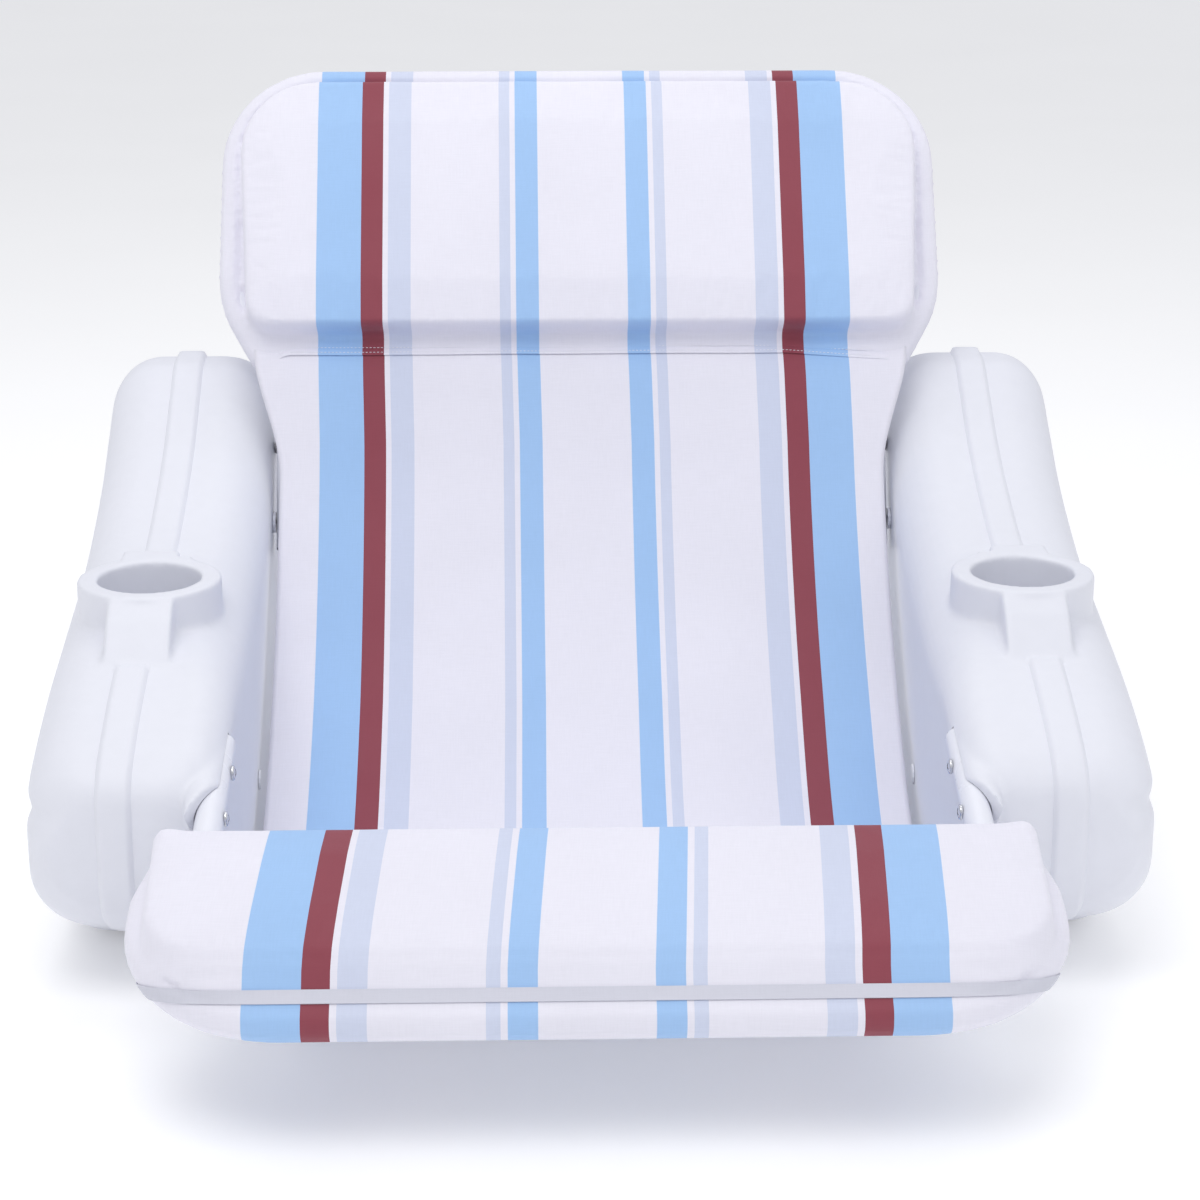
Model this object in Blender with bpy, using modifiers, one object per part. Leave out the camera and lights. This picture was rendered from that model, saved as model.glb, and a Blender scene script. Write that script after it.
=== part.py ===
"""Rigid-armed floating pool lounge chair.

Frame: X across the chair, Y from the foot end (-Y) to the head end (+Y), Z up.
The origin is on the floor under the middle of the chair, which stands on the
flat keels of its two arm floats.
Two rigid bodies: the seat (arm floats, seat frame, knee bolster) and the back
(back frame and headrest), which folds forward about one hinge line along X.

Side-view points are written (h, z): h metres behind the front edge of the
bolster's top and z metres above that edge. place() turns them into the frame.
"""
import math

import bmesh
import bpy
from mathutils import Matrix, Vector

# ---------------------------------------------------------------- dimensions
OBJECT_NAME = "floating_lounge_chair"
EDGE_Y = -0.4336           # Y of the bolster's front top edge (h = 0)
EDGE_Z = 0.140             # its height above the floor (z = 0)
GAP = 0.0003               # air between touching solids

# Arm floats: hollow blow-moulded shells
ARM_IN = 0.279             # X of the flat inner wall
ARM_OUT = 0.4310           # X of the outer side
ARM_RIB_X = 0.360          # centre of the raised band along the top
RIB_HALF = 0.0115
RIB_H = 0.0025
ARM_WALL = 0.003
ARM_EDGE_R = 0.030         # rounding of the long edges
ARM_BILGE_R = 0.048        # rounding of the lower outer edge
ARM_NOSE_H, ARM_TAIL_H = 0.203, 0.802
ARM_TOP = ((0.203, 0.006), (0.2045, 0.020), (0.211, 0.034), (0.224, 0.046), (0.245, 0.0565),
           (0.286, 0.0725), (0.352, 0.0915), (0.437, 0.109), (0.534, 0.1295), (0.600, 0.151),
           (0.669, 0.1805), (0.723, 0.2135), (0.765, 0.2365), (0.788, 0.238), (0.799, 0.227),
           (0.802, 0.206))
ARM_BASE = ((0.203, -0.036), (0.2045, -0.052), (0.211, -0.067), (0.224, -0.080), (0.245, -0.092),
            (0.286, -0.112), (0.352, -0.140), (0.600, -0.140), (0.640, -0.118), (0.669, -0.084),
            (0.723, 0.008), (0.765, 0.088), (0.788, 0.134), (0.799, 0.156), (0.802, 0.170))
ARM_STATIONS = (0.203, 0.2045, 0.211, 0.224, 0.245, 0.286, 0.352, 0.437, 0.534, 0.600, 0.640,
                0.669, 0.723, 0.765, 0.788, 0.799, 0.802)
ARM_END_ROUND = 0.040      # length over which the sides round in at nose and tail
ARM_NOSE_PINCH, ARM_TAIL_PINCH = 0.026, 0.006

# Cup holder moulded into each arm
CUP_X, CUP_H = 0.358, 0.437
CUP_BORE_R = 0.042
CUP_RING_R = 0.0585
CUP_RIM_Z = 0.131
CUP_DEPTH = 0.068
RAMP_HALF, RAMP_FRONT_H = 0.0265, 0.335   # ramp moulded in front of the ring
RAMP_REAR_BACK = 0.045     # its rear end, ahead of the cup's centre
RAMP_LOW_Z, RAMP_DROP = 0.070, 0.004     # its underside, and its rear edge below the rim
RING_LOW_Z = 0.080         # the ring's foot, inside the arm
CUT_OVER = 0.05            # how far a cutter reaches past the skin
RAMP_SINK = 0.001          # the ramp's front edge above the arm's top line
HOLE_BEFORE, HOLE_BEHIND = 0.01, 0.025     # a drilled hole's reach each way from the inner wall
PLUG_LIP_T, PLUG_LIP_R, PLUG_LIP_EDGE_R, PLUG_LIP_EDGE_T = 0.0018, 0.009, 0.008, 0.0004
PLUG_LENGTH = 0.008

# Frame tubes
TUBE_R = 0.011
TUBE_BORE_R = 0.0095
BACK_LEG_X = 0.265         # back frame's legs, clear of the arms so that they can swing
SEAT_LEG_X = 0.2865        # seat frame's legs, sunk in a channel in each arm
CHANNEL_GAP = 0.0008
CHANNEL_PAST = 0.006       # how far the channel runs on past the tube's end
BORE_OVER = 0.002          # a tube's bore past its ends
CROSS_HOLE_HALF = 0.02
BAR_MID_X = 0.12           # where a frame tube's straight bar is joined at the middle
TUBE_PLUG = ((0.0, 0.004), (0.006, 0.0036), (0.0095, 0.002))   # dome (radius, height)
TUBE_PLUG_DEPTH = 0.012
HINGE_H, HINGE_Z = 0.672, 0.110

# Headrest, in its own tilted frame: v up the slope, w out of its face
HEAD_TILT = math.radians(56.3)
HEAD_H, HEAD_Z = 0.735, 0.247      # tube centre line at the cover's lower edge
HEAD_BAR_V = 0.273                 # the top bar of the back frame
HEAD_BEND_R = 0.080
HEAD_TOP_X, HEAD_LOW_X = 0.3170, 0.2830
HEAD_TURN_V = 0.090                # below this the legs bend inward
HEAD_LOW_V = -0.012
HEAD_PAD = (0.3090, 0.0175, 0.257, 0.044)      # half width, low v, high v, face w
HEAD_PAD_TAPER = 0.012             # how much narrower the face is along its low edge
BACK_LEG_END = 0.024               # tube beyond the hinge

# Knee bolster, in its own tilted frame
BOLSTER_TILT = math.radians(15.7)
BOLSTER_H, BOLSTER_Z = -0.020, -0.045          # centre line of the front bar
BOLSTER_BEND_R = 0.098
BOLSTER_X = 0.3205
BOLSTER_REAR_V = 0.175
BOLSTER_REAR_X = 0.322
BOLSTER_PAD = (0.313, 0.0290, 0.164, 0.0375)
SEAT_LEG_V = (0.118, 0.200, 0.318)             # inward bend from, to, and the tube's end
SEAT_SCREW_V = (0.224, 0.281)

# Covers and sling
SLEEVE_HALF = 0.0135       # half thickness of a cover round its tube
CLOTH = 0.0015
LEG_HOLE_GAP = 0.0012
COVER_WRAP = SLEEVE_HALF + 0.0008          # cover's outline past the tube's centre line
SLEEVE_BEVEL, SLEEVE_INNER_BEVEL = 0.008, 0.0072
POCKET_BEVEL, POCKET_INNER_BEVEL = 0.006, 0.005
SLEEVE_STEPS = 8
FOAM_SLACK, FOAM_CORE_SLACK, FOAM_CORE_R = 0.001, 0.0008, 0.02
PIPING_R = 0.002
SLING_POINTS = ((0.7242, 0.2596), (0.7138, 0.2444), (0.694, 0.205), (0.664, 0.150),
                (0.628, 0.100), (0.592, 0.058), (0.556, 0.022), (0.515, -0.013),
                (0.470, -0.047), (0.430, -0.072), (0.390, -0.089), (0.335, -0.098),
                (0.280, -0.090), (0.230, -0.066), (0.190, -0.038), (0.1555, -0.006))
SLING_SPLIT = 4            # the point where the sling crosses the hinge line
SLING_HALF = 0.271
SLING_HEAD_HALF = 0.296
SLING_NECK_HALF = 0.238    # between the seat frame's legs

# Fasteners
SCREW_R, SCREW_HEAD_R, SCREW_HEAD_T = 0.003, 0.0075, 0.0042
SCREW_TIP_CONE, SCREW_TIP_LAND = 0.001, 0.002
SCREW_RIM_T = 0.0012
SEAT_SCREW_REACH, HINGE_BOLT_REACH = 0.026, 0.016   # past the leg's centre, past the arm's wall
SPACER_R = 0.0095
STOP_R = 0.006
STOP_LENGTH, STOP_TAIL = 0.0245, 0.040     # out from the arm's wall, and with its threaded tail
STOP_CAP_R, STOP_CAP_T, STOP_CAP_EDGE = 0.009, 0.003, 0.0008
STOP_UP = 0.072            # recline stop, measured up the leg from the hinge
BLOW_HOLE_R = 0.005
BLOW_HOLE_H, BLOW_HOLE_Z = 0.470, -0.060

PARTS = None
CUTTERS = None
MATERIALS = {}


# ------------------------------------------------------------------- helpers
def clear_scene():
    for obj in list(bpy.data.objects):
        bpy.data.objects.remove(obj, do_unlink=True)


def make_collection(name):
    coll = bpy.data.collections.new(name)
    bpy.context.scene.collection.children.link(coll)
    return coll


def make_material(name, color, roughness, metallic=0.0):
    mat = bpy.data.materials.new(name)
    mat.use_nodes = True
    shader = mat.node_tree.nodes["Principled BSDF"]
    shader.inputs["Base Color"].default_value = (*color, 1.0)
    shader.inputs["Roughness"].default_value = roughness
    shader.inputs["Metallic"].default_value = metallic
    MATERIALS[name] = mat


def place(x, h, z):
    """Frame position of a side-view point at distance x across the chair."""
    return Vector((x, h + EDGE_Y, z + EDGE_Z))


def tilted(tilt, h, z):
    """Matrix of a pad's own frame: x across, y up its slope, z out of its face."""
    turn = Matrix.Rotation(tilt, 4, "X")
    return Matrix.Translation(place(0.0, h, z)) @ turn


HEAD_FRAME = tilted(HEAD_TILT, HEAD_H, HEAD_Z)
BOLSTER_FRAME = tilted(BOLSTER_TILT, BOLSTER_H, BOLSTER_Z)


def new_object(name, mesh, material=None, cutter=False):
    obj = bpy.data.objects.new(name, mesh)
    if cutter:
        CUTTERS.objects.link(obj)
        obj.hide_render = True
        obj.display_type = "WIRE"
    else:
        PARTS.objects.link(obj)
    if material:
        mesh.materials.append(MATERIALS[material])
    return obj


def bm_object(name, bm, material=None, cutter=False):
    mesh = bpy.data.meshes.new(name)
    bm.to_mesh(mesh)
    bm.free()
    return new_object(name, mesh, material, cutter)


def shade(obj, angle=math.radians(40)):
    obj.data.shade_smooth()
    obj.data.set_sharp_from_angle(angle=angle)


def boolean(obj, tool, operation):
    mod = obj.modifiers.new(operation.lower() + "_" + tool.name, "BOOLEAN")
    mod.operation = operation
    mod.solver = "EXACT"
    mod.object = tool


def apply_modifiers(obj):
    """Replace an object's mesh with its evaluated one, so that it can be a cutter."""
    bpy.context.view_layer.update()
    graph = bpy.context.evaluated_depsgraph_get()
    mesh = bpy.data.meshes.new_from_object(obj.evaluated_get(graph))
    obj.modifiers.clear()
    obj.data = mesh


def cylinder(name, radius, start, end, segments=24, material=None, cutter=True):
    """Closed cylinder between two points of the frame."""
    axis = end - start
    bm = bmesh.new()
    bmesh.ops.create_cone(bm, cap_ends=True, segments=segments, radius1=radius, radius2=radius,
                          depth=axis.length)
    turn = axis.to_track_quat("Z", "X").to_matrix().to_4x4()
    bmesh.ops.transform(bm, matrix=Matrix.Translation((start + end) / 2) @ turn, verts=bm.verts)
    obj = bm_object(name, bm, material, cutter)
    shade(obj)
    return obj


def turned(name, profile, start, direction, material, segments=14, ring=False):
    """Solid turned from (radius, distance) points, laid from start along direction."""
    bm = bmesh.new()
    verts = [bm.verts.new((r, 0.0, d)) for r, d in profile]
    for a, b in zip(verts, verts[1:]):
        bm.edges.new((a, b))
    if ring:
        bm.edges.new((verts[-1], verts[0]))
    obj = bm_object(name, bm, material)
    screw = obj.modifiers.new("turn", "SCREW")
    screw.axis = "Z"
    screw.steps = screw.render_steps = segments
    screw.merge_threshold = 0.00001
    screw.use_merge_vertices = True
    obj.location = start
    obj.rotation_mode = "QUATERNION"
    obj.rotation_quaternion = direction.to_track_quat("Z", "Y")
    return obj


def curve_tube(name, points, radius, closed=False, resolution=2):
    """Mesh tube along a poly line, with its caps welded on."""
    curve = bpy.data.curves.new(name, "CURVE")
    curve.dimensions = "3D"
    curve.bevel_depth = radius
    curve.bevel_resolution = resolution
    curve.use_fill_caps = True
    spline = curve.splines.new("POLY")
    spline.points.add(len(points) - 1)
    for slot, point in zip(spline.points, points):
        slot.co = (*point, 1.0)
    spline.use_cyclic_u = closed
    source = bpy.data.objects.new(name + "_path", curve)
    PARTS.objects.link(source)
    bpy.context.view_layer.update()
    graph = bpy.context.evaluated_depsgraph_get()
    mesh = bpy.data.meshes.new_from_object(source.evaluated_get(graph))
    bpy.data.objects.remove(source, do_unlink=True)
    bm = bmesh.new()
    bm.from_mesh(mesh)
    bmesh.ops.remove_doubles(bm, verts=bm.verts, dist=0.00001)
    bm.to_mesh(mesh)
    bm.free()
    return mesh


def arc(cx, cy, radius, start_deg, end_deg, steps):
    """Points on a circular arc, ends included."""
    points = []
    for i in range(steps + 1):
        a = math.radians(start_deg + (end_deg - start_deg) * i / steps)
        points.append((cx + radius * math.cos(a), cy + radius * math.sin(a)))
    return points


def smooth_step(t):
    t = min(max(t, 0.0), 1.0)
    return t * t * (3 - 2 * t)


def read_curve(points, h):
    """Height of a side-view line of (h, z) points at h."""
    for (h0, z0), (h1, z1) in zip(points, points[1:]):
        if h <= h1:
            t = (h - h0) / (h1 - h0)
            return z0 + (z1 - z0) * max(t, 0.0)
    return points[-1][1]


def spline_through(points, steps):
    """Catmull-Rom curve through side-view points, with steps spans between each pair."""
    ends = [points[0]] + list(points) + [points[-1]]
    out = []
    for i in range(len(points) - 1):
        a, b, c, d = (Vector(p) for p in ends[i:i + 4])
        for k in range(steps):
            t = k / steps
            out.append(0.5 * (2 * b + (c - a) * t + (2 * a - 5 * b + 4 * c - d) * t * t
                              + (3 * b - a - 3 * c + d) * t ** 3))
    out.append(Vector(points[-1]))
    return out


def loft(sections):
    """Closed skin through rings of equal length, with flat ends."""
    bm = bmesh.new()
    rings = [[bm.verts.new(p) for p in ring] for ring in sections]
    count = len(rings[0])
    for low, high in zip(rings, rings[1:]):
        for i in range(count):
            j = (i + 1) % count
            bm.faces.new((low[i], low[j], high[j], high[i]))
    bm.faces.new(rings[0][::-1])
    bm.faces.new(rings[-1])
    bmesh.ops.recalc_face_normals(bm, faces=bm.faces)
    return bm


def prism(name, outline, low, high, frame, bevel=0.0, material=None, cutter=False):
    """Outline in a pad's plane, raised from low to high along its normal."""
    bm = bmesh.new()
    face = bm.faces.new([bm.verts.new((x, v, low)) for x, v in outline])
    grown = bmesh.ops.extrude_face_region(bm, geom=[face])
    raised = [g for g in grown["geom"] if isinstance(g, bmesh.types.BMVert)]
    bmesh.ops.translate(bm, verts=raised, vec=(0, 0, high - low))
    bmesh.ops.recalc_face_normals(bm, faces=bm.faces)
    if bevel:
        rims = [e for e in bm.edges if abs(e.verts[0].co.z - e.verts[1].co.z) < 1e-6]
        bmesh.ops.bevel(bm, geom=rims, offset=bevel, segments=2, affect="EDGES", profile=0.5)
    bmesh.ops.transform(bm, matrix=frame, verts=bm.verts)
    obj = bm_object(name, bm, material, cutter)
    shade(obj)
    return obj


def round_corners(corners, steps=5):
    """Outline of (x, v, radius) corners, each turned into an arc."""
    out = []
    count = len(corners)
    for i, (x, v, r) in enumerate(corners):
        here = Vector((x, v))
        back = (Vector(corners[i - 1][:2]) - here).normalized()
        ahead = (Vector(corners[(i + 1) % count][:2]) - here).normalized()
        half = back.angle(ahead) / 2
        reach = r / math.tan(half)
        start, end = here + back * reach, here + ahead * reach
        centre = here + (back + ahead).normalized() * (r / math.sin(half))
        for k in range(steps + 1):
            spoke = (start - centre).lerp(end - centre, k / steps)
            out.append(tuple(centre + spoke.normalized() * r))
    return out


# ---------------------------------------------------------------- arm floats
def arm_section(h, inset):
    """Ring of (x, z) round an arm at h, its skin moved in by inset."""
    top = read_curve(ARM_TOP, h) - inset
    base = read_curve(ARM_BASE, h) + inset
    from_nose, from_tail = h - ARM_NOSE_H, ARM_TAIL_H - h
    pinch = 0.0
    if min(from_nose, from_tail) < ARM_END_ROUND:
        most = ARM_NOSE_PINCH if from_nose < from_tail else ARM_TAIL_PINCH
        t = 1 - min(from_nose, from_tail) / ARM_END_ROUND
        pinch = most * (1 - math.sqrt(max(1 - t * t, 0.0)))
    inner, outer = ARM_IN + pinch + inset, ARM_OUT - pinch - inset
    radius = min(ARM_EDGE_R - inset, (top - base) * 0.45)
    bilge = min(ARM_BILGE_R - inset, (top - base) * 0.52)
    lift = 0.0 if inset else RIB_H
    ring = arc(inner + radius, base + radius, radius, 180, 270, 3)
    ring += arc(outer - bilge, base + bilge, bilge, 270, 360, 4)
    ring += arc(outer - radius, top - radius, radius, 0, 90, 3)
    ring += [(ARM_RIB_X + RIB_HALF, top), (ARM_RIB_X + RIB_HALF - 0.001, top + lift),
             (ARM_RIB_X - RIB_HALF + 0.001, top + lift), (ARM_RIB_X - RIB_HALF, top)]
    ring += arc(inner + radius, top - radius, radius, 90, 180, 3)
    return ring


def arm_skin(name, side, inset, cutter):
    """Arm's outer skin, or the hollow inside it."""
    rings = []
    for h in ARM_STATIONS:
        middle = (ARM_NOSE_H + ARM_TAIL_H) / 2
        span = ARM_TAIL_H - ARM_NOSE_H
        squeezed = middle + (h - middle) * (1 - 2 * inset / span)
        rings.append([place(side * x, squeezed, z) for x, z in arm_section(h, inset)])
    obj = bm_object(name, loft(rings), None if cutter else "arm_plastic", cutter)
    return obj


def leg_channel(name, side, gap):
    """Cutter round one leg of the seat frame where it is sunk in the arm's wall."""
    path = [BOLSTER_FRAME @ Vector((side * x, v, 0)) for x, v in seat_leg()[2:]]
    path[-1] += (path[-1] - path[-2]).normalized() * (CHANNEL_PAST + gap)
    return new_object(name, curve_tube(name, path, TUBE_R + gap), cutter=True)


def make_arm(label, side):
    """One arm float: hollow shell with its cup holder, ring, ramp and holes."""
    arm = arm_skin("arm_float_" + label, side, 0.0, False)
    ring = cylinder("ring_" + label, CUP_RING_R, place(side * CUP_X, CUP_H, RING_LOW_Z),
                    place(side * CUP_X, CUP_H, CUP_RIM_Z), 28)
    boolean(arm, ring, "UNION")
    rear = CUP_H - RAMP_REAR_BACK
    ramp = [(rear, RAMP_LOW_Z), (RAMP_FRONT_H, RAMP_LOW_Z),
            (RAMP_FRONT_H, read_curve(ARM_TOP, RAMP_FRONT_H) + RAMP_SINK),
            (rear, CUP_RIM_Z - RAMP_DROP)]
    rings = [[place(side * (CUP_X + dx), h, z) for h, z in ramp] for dx in (-RAMP_HALF, RAMP_HALF)]
    boolean(arm, bm_object("ramp_" + label, loft(rings), cutter=True), "UNION")

    hollow = arm_skin("hollow_" + label, side, ARM_WALL, True)
    floor_z = CUP_RIM_Z - CUP_DEPTH
    well = cylinder("well_" + label, CUP_BORE_R + ARM_WALL,
                    place(side * CUP_X, CUP_H, floor_z - ARM_WALL),
                    place(side * CUP_X, CUP_H, CUP_RIM_Z + CUT_OVER), 24)
    boolean(hollow, well, "DIFFERENCE")
    boolean(hollow, leg_channel("channel_wall_" + label, side, CHANNEL_GAP + ARM_WALL),
            "DIFFERENCE")
    apply_modifiers(hollow)
    boolean(arm, hollow, "DIFFERENCE")
    bore = cylinder("bore_" + label, CUP_BORE_R, place(side * CUP_X, CUP_H, floor_z),
                    place(side * CUP_X, CUP_H, CUP_RIM_Z + CUT_OVER), 24)
    boolean(arm, bore, "DIFFERENCE")

    channel = leg_channel("channel_" + label, side, CHANNEL_GAP)
    boolean(arm, channel, "DIFFERENCE")

    holes = [(SCREW_R, *leg_point(v)) for v in SEAT_SCREW_V]
    holes += [(SCREW_R, HINGE_H, HINGE_Z), (SCREW_R, *stop_point())]
    holes.append((BLOW_HOLE_R, BLOW_HOLE_H, BLOW_HOLE_Z))
    for i, (radius, h, z) in enumerate(holes):
        hole = cylinder("arm_hole_%s_%d" % (label, i), radius + GAP,
                        place(side * (ARM_IN - HOLE_BEFORE), h, z),
                        place(side * (ARM_IN + HOLE_BEHIND), h, z), 10)
        boolean(arm, hole, "DIFFERENCE")

    plug = turned("blow_hole_plug_" + label,
                  ((0, PLUG_LENGTH), (BLOW_HOLE_R, PLUG_LENGTH), (BLOW_HOLE_R, PLUG_LIP_T + GAP),
                   (PLUG_LIP_R, PLUG_LIP_T), (PLUG_LIP_EDGE_R, PLUG_LIP_EDGE_T), (0, 0)),
                  place(side * (ARM_IN - PLUG_LIP_T - GAP), BLOW_HOLE_H, BLOW_HOLE_Z),
                  Vector((side, 0, 0)), "arm_plastic", 12)
    shade(plug)


# --------------------------------------------------------------- frame tubes
def leg_point(v):
    """Side-view point on the seat frame's legs, v from its front bar."""
    return (BOLSTER_H + v * math.cos(BOLSTER_TILT), BOLSTER_Z + v * math.sin(BOLSTER_TILT))


def back_leg_direction():
    """Side-view direction of the back frame's legs, from the hinge up to the cover."""
    return Vector((HEAD_H - HINGE_H, HEAD_Z - HINGE_Z)).normalized()


def stop_point():
    """Side-view place of the recline stop, behind the leg that rests on it."""
    up = back_leg_direction()
    behind = Vector((up.y, -up.x))
    return tuple(Vector((HINGE_H, HINGE_Z)) + up * STOP_UP + behind * (TUBE_R + STOP_R + GAP))


def hollow_tube(name, path, leg_x, holes):
    """Bent tube with open ends and cross holes in its legs at the given side-view points."""
    obj = new_object(name, curve_tube(name, path, TUBE_R), "frame_paint")
    first, last = path[0], path[-1]
    long_path = [first + (first - path[1]).normalized() * BORE_OVER] + path
    long_path.append(last + (last - path[-2]).normalized() * BORE_OVER)
    bore = new_object(name + "_bore", curve_tube(name + "_bore", long_path, TUBE_BORE_R),
                      cutter=True)
    boolean(obj, bore, "DIFFERENCE")
    for i, (h, z) in enumerate(holes):
        for side in (-1, 1):
            cut = cylinder("%s_hole_%d_%d" % (name, i, side), SCREW_R + GAP,
                           place(side * (leg_x - CROSS_HOLE_HALF), h, z),
                           place(side * (leg_x + CROSS_HOLE_HALF), h, z), 10)
            boolean(obj, cut, "DIFFERENCE")
    shade(obj)
    return obj


def mirror_path(half):
    """Full left-to-right path from a right half that starts at the centre plane."""
    left = [Vector((-p.x, p.y, p.z)) for p in reversed(half)]
    return left + half


def seat_leg():
    """Right leg of the seat frame from its bend to its end, as (x, v) points."""
    bend_from, bend_to, end = SEAT_LEG_V
    leg = []
    for i in range(5):
        t = i / 4
        leg.append((BOLSTER_X + (SEAT_LEG_X - BOLSTER_X) * smooth_step(t),
                    bend_from + (bend_to - bend_from) * t))
    return leg + [(SEAT_LEG_X, end)]


def back_leg():
    """Right leg of the back frame below the headrest, as frame points."""
    up = back_leg_direction()
    hinge = Vector((HINGE_H, HINGE_Z))
    length = (Vector((HEAD_H, HEAD_Z)) - hinge).length
    leg = []
    for i in range(1, 6):
        t = i / 5
        at = hinge + up * length * (1 - t * 0.5)
        leg.append(place(HEAD_LOW_X + (BACK_LEG_X - HEAD_LOW_X) * smooth_step(t), *at))
    leg.append(place(BACK_LEG_X, *(hinge - up * BACK_LEG_END)))
    return leg


def make_seat_frame():
    """Front U tube: bar across the bolster, legs screwed to the arm floats."""
    half = [(BAR_MID_X, 0.0)]
    half += arc(BOLSTER_X - BOLSTER_BEND_R, BOLSTER_BEND_R, BOLSTER_BEND_R, -90, 0, 6)
    half += seat_leg()
    path = mirror_path([BOLSTER_FRAME @ Vector((x, v, 0)) for x, v in half])
    hollow_tube("seat_frame_tube", path, SEAT_LEG_X, [leg_point(v) for v in SEAT_SCREW_V])
    tip = leg_point(SEAT_LEG_V[-1])
    along = Vector((0, math.cos(BOLSTER_TILT), math.sin(BOLSTER_TILT)))
    for label, side in SIDES:
        end_plug("seat_tube_plug_" + label, place(side * SEAT_LEG_X, *tip), along)


def end_plug(name, tip, outward):
    """Domed plastic plug in an open tube end."""
    body_r = TUBE_BORE_R * math.cos(math.pi / 8) - GAP      # inside the flats of the bore
    dome = [(radius, GAP + height) for radius, height in TUBE_PLUG]
    stem = [(TUBE_R, GAP), (body_r, GAP), (body_r, -TUBE_PLUG_DEPTH), (0, -TUBE_PLUG_DEPTH)]
    plug = turned(name, dome + stem, tip, outward, "trim_plastic")
    shade(plug)


def make_back_frame():
    """Rear U tube: bar along the headrest's top, legs hinged on the arm floats."""
    half = [(BAR_MID_X, HEAD_BAR_V)]
    half += arc(HEAD_TOP_X - HEAD_BEND_R, HEAD_BAR_V - HEAD_BEND_R, HEAD_BEND_R, 90, 0, 6)
    for i in range(5):
        t = i / 4
        half.append((HEAD_TOP_X + (HEAD_LOW_X - HEAD_TOP_X) * t * t, HEAD_TURN_V * (1 - t)))
    pad = [HEAD_FRAME @ Vector((x, v, 0)) for x, v in half]
    hollow_tube("back_frame_tube", mirror_path(pad + back_leg()), BACK_LEG_X, [(HINGE_H, HINGE_Z)])
    up = back_leg_direction()
    tip = Vector((HINGE_H, HINGE_Z)) - up * BACK_LEG_END
    down = Vector((0, -up.x, -up.y))
    for label, side in SIDES:
        end_plug("back_tube_plug_" + label, place(side * BACK_LEG_X, *tip), down)


# ----------------------------------------------------------------- fasteners
def pan_screw(name, side, leg_x, h, z, tip_x):
    """Pan-head screw through a tube leg, its tip inside the arm float."""
    seat = leg_x - TUBE_R - GAP
    length = tip_x - seat
    stem = [(0, length), (SCREW_R - SCREW_TIP_CONE, length), (SCREW_R, length - SCREW_TIP_LAND),
            (SCREW_R, 0)]
    head = [(SCREW_HEAD_R, 0), (SCREW_HEAD_R, -SCREW_RIM_T),
            (SCREW_HEAD_R * 0.8, -SCREW_HEAD_T * 0.85), (0, -SCREW_HEAD_T)]
    screw = turned(name, stem + head, place(side * seat, h, z), Vector((side, 0, 0)), "steel")
    shade(screw)


def spacer(name, side, h, z):
    """Flat plastic ring that holds a tube off the arm's wall."""
    near = BACK_LEG_X + TUBE_R + GAP
    thick = ARM_IN - GAP - near
    inner = SCREW_R + GAP
    ring = turned(name, ((inner, thick), (SPACER_R, thick), (SPACER_R, 0), (inner, 0)),
                  place(side * near, h, z), Vector((side, 0, 0)), "trim_plastic", ring=True)
    shade(ring)


def make_fasteners():
    for label, side in SIDES:
        for place_name, v in zip(("front", "rear"), SEAT_SCREW_V):
            h, z = leg_point(v)
            pan_screw("seat_screw_%s_%s" % (place_name, label), side, SEAT_LEG_X, h, z,
                      SEAT_LEG_X + SEAT_SCREW_REACH)
        pan_screw("hinge_bolt_" + label, side, BACK_LEG_X, HINGE_H, HINGE_Z,
                  ARM_IN + HINGE_BOLT_REACH)
        spacer("hinge_washer_" + label, side, HINGE_H, HINGE_Z)
        h, z = stop_point()
        stop = turned("recline_stop_" + label,
                      ((0, STOP_TAIL), (SCREW_R, STOP_TAIL), (SCREW_R, STOP_LENGTH),
                       (STOP_R, STOP_LENGTH), (STOP_R, STOP_CAP_T), (STOP_CAP_R, STOP_CAP_T),
                       (STOP_CAP_R, STOP_CAP_EDGE), (0, 0)),
                      place(side * (ARM_IN - GAP - STOP_LENGTH), h, z), Vector((side, 0, 0)),
                      "trim_plastic")
        shade(stop)


# -------------------------------------------------------------------- covers
def pad_outline(corners, steps=4):
    """Symmetric outline from its right-hand (x, v, radius) corners, low to high."""
    left = [(-x, v, r) for x, v, r in reversed(corners)]
    return round_corners(list(corners) + left, steps)


def make_cover(name, frame, sleeve, raised, face, leg):
    """Cloth cover: a flat sleeve round the frame tube and a raised pocket for the foam."""
    cover = prism(name, pad_outline(sleeve, SLEEVE_STEPS), -SLEEVE_HALF, SLEEVE_HALF, frame,
                  SLEEVE_BEVEL, "cloth")
    pocket = prism(name + "_pocket", pad_outline(raised), 0.0, face, frame, POCKET_BEVEL,
                   cutter=True)
    boolean(cover, pocket, "UNION")
    inner_sleeve = shrink(sleeve, CLOTH)
    inner_raised = shrink(raised, CLOTH)
    inside = prism(name + "_inside", pad_outline(inner_sleeve, SLEEVE_STEPS), CLOTH - SLEEVE_HALF,
                   SLEEVE_HALF - CLOTH, frame, SLEEVE_INNER_BEVEL, cutter=True)
    inside_pocket = prism(name + "_inside_pocket", pad_outline(inner_raised), 0.0, face - CLOTH,
                          frame, POCKET_INNER_BEVEL, cutter=True)
    boolean(inside, inside_pocket, "UNION")
    apply_modifiers(inside)
    boolean(cover, inside, "DIFFERENCE")
    for label, side in SIDES:
        path = [Vector((side * p.x, p.y, p.z)) for p in leg]
        cutter_name = "%s_leg_hole_%s" % (name, label)
        hole = new_object(cutter_name, curve_tube(cutter_name, path, TUBE_R + LEG_HOLE_GAP),
                          cutter=True)
        boolean(cover, hole, "DIFFERENCE")


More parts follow.
